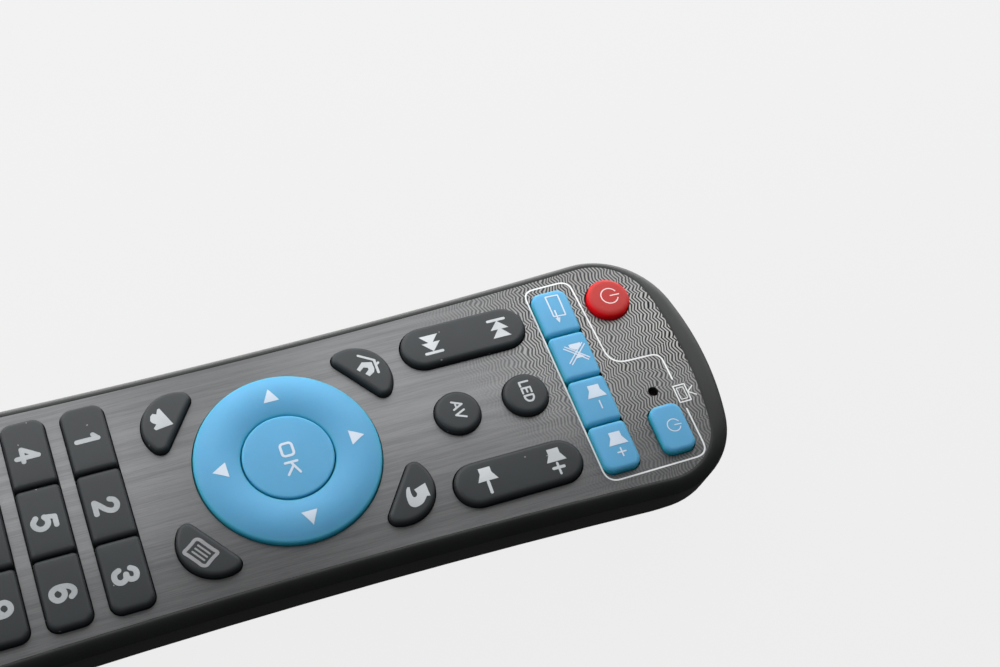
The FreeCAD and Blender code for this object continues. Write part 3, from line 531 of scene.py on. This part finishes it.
def key_row(names, y, pitch, length, outer, colour):
    """Keys side by side, the end ones with the larger outer corners."""
    for i, name in enumerate(names):
        left = outer if i == 0 else 0.75
        right = outer if i == len(names) - 1 else 0.75
        foot = bar((i - (len(names) - 1) / 2) * pitch, y, pitch - between_keys, length, left, right)
        press_key(name, foot, 0.09, colour, box_line(foot, 0.0))


tv_names = ["tv_input_key", "tv_mute_key", "tv_volume_down_key", "tv_volume_up_key"]
key_row(tv_names, tv_row_y, tv_pitch, tv_length, tv_corner, blue_rubber)
number_names = [[f"number_{3 * row + i}_key" for i in (1, 2, 3)] for row in range(3)]
number_names.append(["info_key", "number_0_key", "delete_key"])
for names, y in zip(number_names, number_rows):
    key_row(names, y, number_pitch, number_length, number_corner, dark_rubber)

# Rockers: long dark silicone keys that tilt over a bar of the mat under their middle, with a foot at
# each end that presses a contact.

for name, x, foot in zip(("skip_rocker", "volume_rocker"), (-rocker_x, rocker_x), rocker_feet):
    tops[name] = cap_height(x, rocker_y, 3.785, 10.9, key_top, 0.07)
    shells = [cap(foot, tops[name], 15.06, 0.8, 0.66), pad(box_line(foot, 0.8), 15.06, 15.44)]
    for end in (1, -1):
        shells.append(pad(bar(x, rocker_y + end * 7.5, 3.4, 3.4, 0.2, 0.2)(0.0), 14.59, 15.06))
    dress(build(name + "_cap", shells), name, dark_rubber)

# Direction ring and OK key: one turned shape each, of light blue silicone. The ring is dished towards
# the OK key, highest at a crest and rounded over outside; it tilts on a thin frame under it.


crest_at, crest_z = 11.2, 19.27


def ring_height(x, y):
    """Height of the ring's top at a place: parabolas that fall 0.85 mm inwards and 0.7 mm outwards from
    the crest."""
    r = np.hypot(x, y - ring_y)
    inner_fall = 0.85 * ((crest_at - r) / 3.7) ** 2
    outer_fall = 0.7 * ((r - crest_at) / 3.2) ** 2
    return np.where(r < crest_at, crest_z - inner_fall, crest_z - outer_fall)


def turned(profile, count=96):
    """Rings about the ring's axis through a closed profile of radius and height."""
    profile = np.asarray(profile, float)
    angle = np.linspace(0, 2 * math.pi, count, endpoint=False)
    ring = np.stack([np.cos(angle), np.sin(angle), np.zeros(count)], -1)
    middle = np.stack([np.zeros(len(profile)), np.full(len(profile), ring_y), profile[:, 1]], -1)
    return profile[:, None, :1] * ring + middle[:, None, :]


# the ring's section: flange, outer wall, rounded edge, dished top, inner wall
across = np.linspace(7.75, 14.3, 26)
profile = [(15.7, 14.9), (15.7, 15.275), (ring_radius, 15.275), (ring_radius, 17.9)]
edge = np.radians(np.linspace(0, 75, 8))
profile += [(14.3 + 0.6 * math.cos(a), 17.95 + 0.62 * math.sin(a)) for a in edge]
profile += list(zip(across[::-1][1:], ring_height(0 * across, ring_y + across)[::-1][1:]))
profile += [(7.68, 18.48), (7.56, 18.36), (7.5, 18.14), (7.5, 16.295), (8.0, 16.295), (8.0, 14.9)]
feet = [pad(bar(dx * 11.5, ring_y + dy * 11.5, 3.6, 3.6, 0.2, 0.2)(0.0), 14.71, 14.9)
        for dx, dy in ((1, 0), (0, 1), (-1, 0), (0, -1))]
tops["direction_ring"] = ring_height
tops["ok_key"] = cap_height(0, ring_y, 7.25, 7.25, 18.83, 0.12)
ring = build("direction_ring_cap", feet, [turned(profile)])
ok = build("ok_key_cap", [
    cap(circle(0, ring_y, 7.3), tops["ok_key"], 15.4, 0.36, 0.24),
    pad(circle(0, ring_y, 7.75)(0.0), 15.4, 15.75),
    pad(bar(0, ring_y, 5.2, 5.2, 0.3, 0.3)(0.0), 14.9, 15.4),
])
dress(ring, "direction_ring", blue_rubber)
dress(ok, "ok_key", blue_rubber)

# Print on the keys: thin films of pale ink that lie on the keys' tops, printed after moulding. Signs
# are drawn as strokes and filled shapes; the words and numbers are plain generic ones.

white_ink = grained("white_ink", (0.42, 0.45, 0.47), (0.56, 0.59, 0.61), 0.55, 0.1, 0.15)
number_ink = grained("number_ink", (0.335, 0.36, 0.375), (0.45, 0.475, 0.49), 0.55, 0.25, 0.15)
rocker_ink = grained("rocker_ink", (0.5, 0.53, 0.55), (0.66, 0.69, 0.71), 0.55, 0.1, 0.15)
line_ink = grained("line_ink", (0.72, 0.74, 0.75), (0.84, 0.86, 0.87), 0.55, 0.1, 0.15)
pale_ink = grained("pale_ink", (0.56, 0.66, 0.78), (0.66, 0.74, 0.84), 0.55, 0.1, 0.15)


def dense(points, closed=False, step=0.3):
    """Points every step mm along straight runs between the given points."""
    p = np.asarray(points, float)
    if closed:
        p = np.concatenate([p, p[:1]])
    far = np.concatenate([[0], np.cumsum(np.linalg.norm(np.diff(p, axis=0), axis=1))])
    at = np.linspace(0, far[-1], max(3, int(far[-1] / step) + 2))
    line = np.stack([np.interp(at, far, p[:, 0]), np.interp(at, far, p[:, 1])], -1)
    return line[:-1] if closed else line


def smooth(points, closed=False, per=7):
    """Smooth line through the given points: between two of them it follows the cubic whose slopes there
    are half the step between their neighbours."""
    p = np.asarray(points, float)
    if closed:
        before, after, after2 = np.roll(p, 1, 0), np.roll(p, -1, 0), np.roll(p, -2, 0)
    else:
        full = np.concatenate([[2 * p[0] - p[1]], p, [2 * p[-1] - p[-2]]])
        before, p, after, after2 = full[:-3], full[1:-2], full[2:-1], full[3:]
    t = np.linspace(0, 1, per, endpoint=False)[None, :, None]
    b, c, a, d = before[:, None], p[:, None], after[:, None], after2[:, None]
    line = 0.5 * (2 * c + (a - b) * t + (2 * b - 5 * c + 4 * a - d) * t**2 + (3 * c - b - 3 * a + d) * t**3)
    line = line.reshape(-1, 2)
    return line if closed else np.concatenate([line, after[-1:]])


def round_line(x, y, rx, ry, start=0.0, end=360.0, count=40):
    """Points of an ellipse, or of part of it."""
    angle = np.radians(np.linspace(start, end, count, endpoint=end - start < 359.9))
    return np.stack([x + rx * np.cos(angle), y + ry * np.sin(angle)], -1)


def stroke(points, width, height, lift, closed=False):
    """Rings of a stroke: at each point of the path a flat section half the width to either side, lift
    above the key's top and 0.03 mm into it; an open stroke has round ends."""
    p = np.asarray(points, float)
    if closed:
        ahead = np.roll(p, -1, 0) - np.roll(p, 1, 0)
        half = np.full(len(p), width / 2)
    else:
        ahead = np.gradient(p, axis=0)
        a = np.radians([80, 60, 40, 20])
        first, last = ahead[0] / np.linalg.norm(ahead[0]), ahead[-1] / np.linalg.norm(ahead[-1])
        front = p[0] - first * (np.sin(a) * width / 2)[:, None]
        back = p[-1] + last * (np.sin(a) * width / 2)[::-1, None]
        half = np.concatenate([np.cos(a), np.ones(len(p)), np.cos(a)[::-1]]) * width / 2
        p = np.concatenate([front, p, back])
        ahead = np.concatenate([np.tile(first, (4, 1)), ahead, np.tile(last, (4, 1))])
    side = np.stack([-ahead[:, 1], ahead[:, 0]], -1) / np.linalg.norm(ahead, axis=1)[:, None] * half[:, None]
    left, right = p + side, p - side
    section = []
    for edge, rise in ((left, -0.03), (right, -0.03), (right, lift), (left, lift)):
        section.append(np.column_stack([edge, height(edge[:, 0], edge[:, 1]) + rise]))
    return np.stack(section, 1)


def bars(*runs, at=(0, 0)):
    """Straight strokes, each given by x and y of its two ends and its width, all moved by at."""
    return [(dense(np.array([run[:2], run[2:4]]) + at), run[4]) for run in runs]


def spots_of(mesh):
    """Places of a mesh's points."""
    spots = np.empty(len(mesh.vertices) * 3)
    mesh.vertices.foreach_get("co", spots)
    return spots.reshape(-1, 3)


def ink(name, body, strokes=(), closed=(), shapes=(), colour=white_ink, slot="dark_key"):
    """One printed sign on a body's top: strokes and closed strokes as (points, width), shapes as corner
    lists, the first one filled and the others cut out of it. A shape is cut into strips of 0.6 mm both
    ways, so that it follows the top."""
    height = tops[body]
    open_rings = [stroke(p, w, height, 0.02 + 0.002 * i) for i, (p, w) in enumerate(strokes)]
    loop_rings = [stroke(p, w, height, 0.031 + 0.002 * i, True) for i, (p, w) in enumerate(closed)]
    pieces = []
    if open_rings or loop_rings:
        pieces.append(build(name, open_rings, loop_rings, sharp=60))
    if shapes:
        lines = [np.asarray(shape, float) for shape in shapes]
        filled = plate(name + "_fill", lines[0], lines[1:], 0.0, 0.04, 0.001)
        flat = spots_of(filled.data)
        cut = bmesh.new()
        cut.from_mesh(filled.data)
        for low, high, across in zip(flat.min(0), flat.max(0), ((1, 0, 0), (0, 1, 0))):
            for at in np.arange(low + 0.0005, high, 0.0006):
                everything = cut.verts[:] + cut.edges[:] + cut.faces[:]
                spot = Vector(across) * float(at)
                bmesh.ops.bisect_plane(cut, geom=everything, plane_co=spot, plane_no=across)
        cut.to_mesh(filled.data)
        cut.free()
        spots = spots_of(filled.data) * 1000
        spots[:, 2] = height(spots[:, 0], spots[:, 1]) + np.where(spots[:, 2] > 0.02, 0.027, -0.03)
        filled.data.vertices.foreach_set("co", (spots * 0.001).ravel())
        filled.data.update()
        pieces.append(filled)
    for piece in pieces:
        piece.data.materials.append(colour)
        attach(piece, body)


def speaker(x, y):
    """Corners of a loudspeaker sign: a box with a horn opening to the right."""
    horn, box = x + 2.35, x + 1.0
    return [(x, y - 1.0), (box, y - 1.0), (horn, y - 1.72), (horn, y + 1.72), (box, y + 1.0), (x, y + 1.0)]


def power_sign(x, y, radius, width):
    """Strokes of the usual power sign: a ring open at the top and a bar through the opening."""
    return [(round_line(x, y, radius, radius, 118, 422), width),
            *bars((x, y + 0.15, x + 0.04, y + radius * 1.15, width))]


# the figures: straight strokes, curved ones of one width, and ovals, about the middle of a key
six = np.array([(0.9, 1.1), (0.4, 1.6), (-0.3, 1.58), (-0.85, 0.95), (-1.02, 0.0), (-0.92, -0.98),
                (-0.4, -1.6), (0.38, -1.62), (0.96, -1.1), (0.98, -0.4), (0.45, 0.15), (-0.25, 0.15),
                (-0.85, -0.35)])
figures = {
    "number_1_key": ([(-0.62, 0.95, 0.12, 1.6, 0.74), (0.12, 1.6, 0.12, -1.68, 0.8)], [], []),
    "number_2_key": ([(-0.95, -1.64, 1.02, -1.64, 0.84)], [
        [(-1.0, 0.75), (-0.72, 1.36), (0.02, 1.66), (0.75, 1.36), (0.98, 0.72), (0.6, -0.1), (-0.2, -0.85),
         (-0.95, -1.6)]], []),
    "number_3_key": ([], [
        [(-1.0, 0.92), (-0.62, 1.48), (0.05, 1.66), (0.72, 1.38), (0.86, 0.78), (0.5, 0.24), (-0.15, 0.12)],
        [(-0.15, 0.12), (0.62, -0.05), (1.02, -0.75), (0.75, -1.42), (0.05, -1.68), (-0.66, -1.48),
         (-1.02, -0.82)]], []),
    "number_4_key": ([(0.45, -1.66, 0.45, 1.6, 0.8), (0.45, 1.6, -1.08, -0.7, 0.74),
                      (-1.08, -0.72, 1.12, -0.72, 0.74)], [], []),
    "number_5_key": ([(0.85, 1.62, -0.62, 1.62, 0.8), (-0.62, 1.6, -0.85, 0.12, 0.78)], [
        [(-0.85, 0.1), (-0.2, 0.48), (0.5, 0.36), (0.98, -0.2), (0.98, -0.92), (0.5, -1.5), (-0.2, -1.68),
         (-0.92, -1.2)]], []),
    "number_6_key": ([], [six], []),
    "number_7_key": ([(-1.0, 1.6, 1.0, 1.6, 0.8)], [
        [(1.0, 1.55), (0.4, 0.3), (-0.02, -0.7), (-0.2, -1.66)]], []),
    "number_8_key": ([], [], [round_line(0, 0.85, 0.76, 0.82), round_line(0, -0.82, 1.0, 0.88)]),
    "number_9_key": ([], [-six], []),
    "number_0_key": ([], [], [round_line(0, 0, 1.0, 1.66)]),
}
for i, (node, (straight, curved, ovals)) in enumerate(figures.items()):
    column, row = (0, 3) if node == "number_0_key" else (i % 3 - 1, i // 3)
    at = np.array([column * number_pitch + 0.35, number_rows[row] - 0.1])
    strokes = bars(*straight, at=at) + [(smooth(np.array(line) + at), 0.88) for line in curved]
    ink(node + "_sign", node, strokes, [(line + at, 0.86) for line in ovals], colour=number_ink)

# signs in the last row
at = np.array([-11.9, number_rows[3] - 0.1])
ink("info_key_sign", "info_key", bars((0, -0.85, 0, 0.35, 0.5), (0, 1.0, 0, 1.06, 0.6), at=at),
    [(round_line(*at, 1.75, 1.75, count=56), 0.36)])
at = np.array([12.2, number_rows[3] - 0.1])
arrow_box = np.array([(-2.2, 0), (-1.1, 1.3), (1.9, 1.3), (1.9, -1.3), (-1.1, -1.3)]) + at
ink("delete_key_sign", "delete_key",
    bars((-0.3, 0.55, 0.8, -0.55, 0.36), (-0.3, -0.55, 0.8, 0.55, 0.36), at=at),
    [(dense(arrow_box, True, 0.2), 0.36)])

# words on the round keys, and signs on the rockers
bow = [(0.62, 49.72), (1.15, 49.7), (1.62, 49.35), (1.7, 48.95), (1.58, 48.55), (1.15, 48.24), (0.62, 48.2)]
ink("led_sign", "led_key", bars(
    (-2.02, 49.72, -2.02, 48.22, 0.34), (-2.02, 48.2, -1.25, 48.2, 0.34),
    (-0.82, 49.72, -0.82, 48.22, 0.34), (-0.82, 49.72, 0.1, 49.72, 0.32), (-0.82, 48.98, 0.0, 48.98, 0.32),
    (-0.82, 48.2, 0.1, 48.2, 0.32), (0.62, 49.72, 0.62, 48.22, 0.34)) + [(smooth(bow), 0.34)])
ink("av_sign", "round_key", bars(
    (-1.72, 36.12, -0.98, 37.7, 0.34), (-0.98, 37.7, -0.24, 36.12, 0.34), (-1.42, 36.62, -0.54, 36.62, 0.28),
    (0.1, 37.7, 0.78, 36.12, 0.34), (0.78, 36.12, 1.46, 37.7, 0.34)))
ink("skip_signs", "skip_rocker",
    bars((-14.65, 47.35, -14.65, 50.25, 0.5), (-11.5, 35.35, -11.5, 38.2, 0.5)), colour=rocker_ink)
for name, arrows in (
    ("skip_back_sign", [(-14.45, 48.85), (-12.78, 47.25), (-12.78, 48.55), (-11.22, 47.2), (-11.22, 50.45),
                        (-12.78, 49.15), (-12.78, 50.45)]),
    ("skip_on_sign", [(-14.9, 35.1), (-13.48, 36.35), (-13.48, 35.15), (-11.75, 36.72), (-13.48, 38.35),
                      (-13.48, 37.1), (-14.9, 38.35)]),
):
    ink(name, "skip_rocker", shapes=[arrows], colour=rocker_ink)
ink("louder_sign", "volume_rocker", bars((13.7, 48.85, 15.6, 48.85, 0.4), (14.5, 47.95, 14.5, 49.75, 0.52)),
    shapes=[speaker(11.0, 48.95)], colour=rocker_ink)
ink("quieter_sign", "volume_rocker", bars((13.6, 36.95, 15.5, 36.9, 0.52)),
    shapes=[speaker(11.05, 37.05)], colour=rocker_ink)

# signs on the coloured keys
ink("power_sign", "power_key", power_sign(-13.66, 69.55, 1.5, 0.19), slot="red_key",
    colour=grained("pink_ink", (0.85, 0.62, 0.62), (0.9, 0.7, 0.7), 0.5, 0.1, 0.1))
blue = {"colour": pale_ink, "slot": "blue_key"}
ink("tv_power_sign", "tv_power_key", power_sign(12.8, 70.25, 1.13, 0.17), **blue)
screen = [(-16.6, 58.7), (-12.5, 58.7), (-12.35, 60.85), (-16.5, 60.95)]
ink("input_sign", "tv_input_key", bars((-13.6, 59.3, -12.0, 59.3, 0.26)), [(dense(screen, True, 0.12), 0.24)],
    [[(-12.1, 59.75), (-12.1, 58.85), (-11.1, 59.3)]], **blue)
ink("mute_sign", "tv_mute_key",
    bars(*[(-6.35 + aside, 58.25 - aside, -3.35 + aside, 61.65 - aside, 0.2) for aside in (0.0, 0.34)],
         *[(-6.4 + aside, 61.4 + aside, -3.1 + aside, 57.9 + aside, 0.2) for aside in (0.0, 0.34)]),
    shapes=[[(-6.55, 59.0), (-5.9, 59.0), (-5.35, 59.7), (-5.35, 60.3), (-5.9, 61.1), (-6.55, 61.1)]], **blue)
ink("mute_horn_sign", "tv_mute_key", shapes=[[(-4.5, 60.1), (-3.7, 59.2), (-3.7, 60.9)]], **blue)
ink("tv_quieter_sign", "tv_volume_down_key", bars((4.95, 59.95, 6.35, 59.95, 0.24)),
    shapes=[speaker(1.85, 59.95)], **blue)
ink("tv_louder_sign", "tv_volume_up_key",
    bars((14.15, 59.9, 15.6, 59.9, 0.24), (14.85, 59.2, 14.85, 60.6, 0.26)),
    shapes=[speaker(11.1, 59.95)], **blue)
letter_o = [(-0.5, 7.75, 0.52, -1.5708, 0), (-0.5, 8.6, 0.52, 0, 1.5708), (-1.7, 8.6, 0.52, 1.5708, 3.1416),
            (-1.7, 7.75, 0.52, 3.1416, 4.7124)]
ink("ok_sign", "ok_key",
    bars((1.2, 7.2, 1.2, 9.15, 0.42), (1.3, 8.15, 3.25, 9.15, 0.38), (1.95, 8.3, 3.3, 7.2, 0.38)),
    [(arcs_line(letter_o), 0.42)], **blue)
for name, arrow in (
    ("up", [(-1.4, 18.35), (1.25, 18.35), (-0.07, 20.65)]),
    ("down", [(-1.5, -1.75), (-0.2, -4.1), (1.15, -1.75)]),
    ("left", [(-12.25, 8.3), (-9.95, 7.0), (-9.95, 9.55)]),
    ("right", [(10.3, 7.0), (12.75, 8.3), (10.3, 9.6)]),
):
    ink(name + "_sign", "direction_ring", shapes=[arrow], **blue)

# signs on the corner keys
ink("home_roof_sign", "home_key", bars(
    (-12.85, 26.65, -14.4, 24.3, 0.4), (-12.85, 26.6, -10.5, 26.6, 0.44), (-12.25, 27.1, -12.05, 26.8, 0.4)))
ink("home_walls_sign", "home_key", shapes=[
    [(-12.6, 26.1), (-13.0, 24.5), (-11.9, 23.3), (-11.4, 23.7), (-12.0, 24.5), (-11.75, 25.15),
     (-11.35, 25.15), (-10.75, 24.4), (-10.15, 24.95), (-10.7, 25.9), (-11.3, 26.15)]])
inner_bend = [(10.9, 24.6), (11.6, 24.5), (12.2, 24.5), (12.62, 24.6), (12.78, 24.85), (12.62, 25.2),
              (12.25, 25.4)]
arrow_tip = [(11.5, 25.15), (10.85, 27.2), (13.2, 27.3)]
outer_bend = [(13.08, 26.75), (14.1, 25.75), (14.45, 24.6), (14.2, 23.9), (13.55, 23.55), (12.3, 23.6),
              (11.3, 23.9), (10.8, 24.25)]
ink("back_sign", "back_key", shapes=[np.concatenate([smooth(inner_bend), arrow_tip, smooth(outer_bend)])])
ink("pointer_sign", "pointer_key", shapes=[
    [(-13.8, -9.3), (-12.95, -9.65), (-13.2, -10.2), (-12.85, -10.65), (-12.1, -10.85), (-11.65, -10.65),
     (-11.2, -10.1), (-10.6, -10.65), (-10.2, -10.4), (-10.55, -7.55), (-13.85, -8.95)]])
lean = 0.62
square = np.array([(-2.0, -1.5), (2.0, -1.5), (2.0, 1.5), (-2.0, 1.5)]) @ np.array(
    [[math.cos(lean), math.sin(lean)], [-math.sin(lean), math.cos(lean)]])
at = np.array([12.05, -9.3])
over, up = square[1] - square[0], square[3] - square[0]
ink("menu_sign", "menu_key",
    [(dense([at - over * 0.27 + up * k, at + over * 0.3 + up * k]), 0.3) for k in (-0.22, 0.0, 0.22)],
    [(smooth(dense(square + at, True, 0.9), True, 4), 0.56)],
    colour=grained("worn_ink", (0.24, 0.25, 0.265), (0.34, 0.35, 0.365), 0.55, 0.4, 0.15))

# Print on the panel: a thin white line round the keys that work the television, broken by a small
# television sign.


def flat_face(x, y):
    """Height of the flat panel at a place."""
    return face_z + 0 * x


def rounded_path(corners, reaches):
    """Path through corners, each cut by a parabola that starts and ends its reach in mm away."""
    p = np.asarray(corners, float)
    t = np.linspace(0, 1, 10)[:, None]
    path = [p[:1]]
    for before, at, after, reach in zip(p, p[1:], p[2:], reaches):
        start = at + (before - at) / np.linalg.norm(before - at) * reach
        end = at + (after - at) / np.linalg.norm(after - at) * reach
        path.append((1 - t) ** 2 * start + 2 * t * (1 - t) * at + t**2 * end)
    return np.concatenate(path + [p[-1:]])


tops["case"] = flat_face
frame_corners = [(4.0, 74.15), (-1.35, 74.05), (-1.6, 65.15), (-19.4, 64.25), (-19.3, 55.8), (18.95, 55.95),
                 (18.85, 74.25), (10.0, 74.2)]
frame_line = rounded_path(frame_corners, (1.7, 3.0, 2.0, 1.9, 2.4, 2.3))
ink("frame_line_sign", "case", [(dense(frame_line, step=0.25), 0.28)], colour=line_ink, slot="panel")
ink("television_sign", "case", bars((7.0, 75.75, 6.1, 76.9, 0.2), (7.0, 75.75, 7.9, 76.95, 0.2)), [
    (dense([(5.4, 73.6), (8.6, 73.6), (8.6, 75.7), (5.4, 75.7)], True, 0.12), 0.22),
    (dense([(5.9, 74.05), (8.1, 74.05), (8.1, 75.25), (5.9, 75.25)], True, 0.12), 0.15)],
    colour=line_ink, slot="panel")

# Bottom shell and battery cover: the same black plastic as the rim. Their seen surfaces are a merged,
# smoothly shaded copy of the solid.

for node, body in (("bottom_shell", "case"), ("battery_cover", "battery_cover")):
    copy = bpy.data.objects.new(node + "_skin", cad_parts[node].data.copy())
    bpy.context.scene.collection.objects.link(copy)
    merged = bmesh.new()
    merged.from_mesh(copy.data)
    bmesh.ops.remove_doubles(merged, verts=merged.verts, dist=1e-6)
    merged.to_mesh(copy.data)
    merged.free()
    copy.data.shade_smooth()
    copy.data.set_sharp_from_angle(angle=math.radians(32))
    copy.data.materials.clear()
    copy.data.materials.append(housing_plastic)
    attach(copy, body)
    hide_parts(node)

# Inside parts keep their solids: keypad mat, board, screws, lamp, infrared LED, chip and the rest, the
# two cells and their contacts. Each gets its own finish.


def finish_node(material, *nodes):
    """Gives a solid that stays its material."""
    for node in nodes:
        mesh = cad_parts[node].data
        mesh.materials.clear()
        mesh.materials.append(material)


finish_node(grained("mat_rubber", (0.30, 0.31, 0.32), (0.38, 0.39, 0.40), 0.6, 0.2, 0.3), "keypad_mat")
finish_node(grained("frame_plastic", (0.55, 0.55, 0.53), (0.65, 0.65, 0.62), 0.5, 0.2, 0.2), "fulcrum_frame")
finish_node(grained("chip_resin", (0.012, 0.012, 0.013), (0.03, 0.03, 0.032), 0.3, 0.4, 0.3),
            "controller_chip")
finish_node(grained("sleeve_film", (0.02, 0.025, 0.05), (0.04, 0.045, 0.08), 0.3, 0.3, 0.15), "capacitor")
finish_node(grained("ceramic", (0.36, 0.30, 0.22), (0.5, 0.45, 0.38), 0.45, 0.15, 0.3), "small_parts")
finish_node(grained("lamp_resin", (0.02, 0.006, 0.006), (0.03, 0.01, 0.01), 0.25, 0.2, 0.1), "indicator_lamp")
finish_node(grained("infrared_resin", (0.03, 0.025, 0.06), (0.05, 0.04, 0.1), 0.12, 0.3, 0.05,
                    Coat_Weight=0.5), "infrared_led")
finish_node(grained("plated_steel", (0.5, 0.5, 0.5), (0.68, 0.68, 0.67), 0.32, 0.1, 0.25, Metallic=1.0),
            "board_screws", "case_screw", "crystal")
finish_node(grained("spring_steel", (0.55, 0.54, 0.5), (0.72, 0.71, 0.67), 0.3, 0.12, 0.3, Metallic=1.0),
            "front_spring_contact", "front_plate_contact", "rear_bridge_contact")

board_finish, tree, shader = finish_of("board_mask", 0.35)
tracks = add(tree, "TexBrick", {
    "Vector": in_mm(tree), "Color1": (0.02, 0.16, 0.06, 1), "Color2": (0.03, 0.2, 0.08, 1),
    "Mortar": (0.05, 0.3, 0.12, 1), "Scale": 0.25, "Mortar Size": 0.03})
tree.links.new(tracks.outputs["Color"], shader.inputs["Base Color"])
raised = add(tree, "Bump", {"Height": tracks.outputs["Fac"], "Strength": 0.3, "Distance": 0.00003})
tree.links.new(raised.outputs[0], shader.inputs["Normal"])
finish_node(board_finish, "circuit_board")

# the cells' printed sleeve is dark towards one end, and scuffed
cell_finish, tree, shader = finish_of("cell_sleeve", 0.3, Metallic=0.6)
axes = add(tree, "SeparateXYZ", {0: in_mm(tree)}).outputs
scuffs = add(tree, "Group", node_tree=moulded_grain)
scuffs.inputs["Size"].default_value = 0.3
sleeve = blend(tree, maths(tree, "LESS_THAN", axes["Y"], -38.0), (0.25, 0.26, 0.28), (0.02, 0.02, 0.022))
tree.links.new(sleeve, shader.inputs["Base Color"])
scuffed = ramp(tree, scuffs.outputs["Height"], 0.3, 0.7, 0.24, 0.4)
tree.links.new(scuffed, shader.inputs["Roughness"])
finish_node(cell_finish, "cell_left", "cell_right")

# The view: a pale floor, one soft light at the head's left that shines down, a white sky that is
# brighter on the left and above, and the camera of the photograph.

floor_half, floor_z = 4, -0.0002
floor_corners = [(x * floor_half, y * floor_half, floor_z) for x, y in ((-1, -1), (1, -1), (1, 1), (-1, 1))]
floor_mesh = bpy.data.meshes.new("floor")
floor_mesh.from_pydata(floor_corners, [], [(0, 1, 2, 3)])
floor = bpy.data.objects.new("floor", floor_mesh)
bpy.context.scene.collection.objects.link(floor)
floor_paint, tree, shader = finish_of("floor_paint", 0.9)
shader.inputs["Base Color"].default_value = (0.003, 0.003, 0.003, 1)
shader.inputs["Emission Color"].default_value = (1, 1, 1, 1)
seen = add(tree, "LightPath").outputs["Is Camera Ray"]
along = add(tree, "SeparateXYZ", {0: add(tree, "TexCoord").outputs["Object"]}).outputs["X"]
# the camera sees an even pale floor; what the floor throws on the part comes from its left side
left_glow = ramp(tree, along, -0.02, -0.045, 0.05, 2.6)
glow = add(tree, "Mix", {"Factor": seen, "A": left_glow, "B": 0.835})
tree.links.new(glow.outputs[0], shader.inputs["Emission Strength"])
floor.data.materials.append(floor_paint)


def soft_light(name, at, aim, wide, long, watts):
    """Rectangular soft light at a place in metres, facing a point."""
    light = bpy.data.lights.new(name, "AREA")
    light.shape = "RECTANGLE"
    light.size, light.size_y, light.energy = wide, long, watts
    lamp = bpy.data.objects.new(name, light)
    facing = (Vector(aim) - Vector(at)).to_track_quat("-Z", "Y").to_matrix().to_4x4()
    lamp.matrix_world = Matrix.Translation(at) @ facing
    bpy.context.scene.collection.objects.link(lamp)


soft_light("side_light", (-0.18, 0.05, 0.085), (-0.18, 0.05, 0.0), 0.3, 0.5, 0.96)
world = bpy.data.worlds.new("studio")
world.use_nodes = True
tree = world.node_tree
way = add(tree, "SeparateXYZ", {0: add(tree, "TexCoord").outputs["Generated"]}).outputs
leftward = maths(tree, "MULTIPLY_ADD", way["X"], -0.75, way["Z"])
backward = maths(tree, "MULTIPLY_ADD", way["Y"], -0.3, leftward)
brightness = ramp(tree, backward, -0.5, 1.2, 0.06, 0.62, "SMOOTHSTEP")
tree.links.new(brightness, tree.nodes["Background"].inputs["Strength"])
tree.nodes["Background"].inputs["Color"].default_value = (1, 1, 1, 1)
bpy.context.scene.world = world
bpy.context.scene.view_settings.view_transform = "Standard"

# where the photograph was taken from, found by laying the render's outline and keys over it
camera = bpy.data.objects.new("camera", bpy.data.cameras.new("camera"))
camera.data.lens = 59.692
camera.data.sensor_width = 36.0
camera.data.clip_start = 0.01
camera.matrix_world = Matrix((
    (0.350990, -0.816771, 0.457922, 0.115786),
    (0.927119, 0.234525, -0.292314, -0.032910),
    (0.131359, 0.527147, 0.839560, 0.253009),
    (0, 0, 0, 1)))
bpy.context.scene.collection.objects.link(camera)
bpy.context.scene.camera = camera
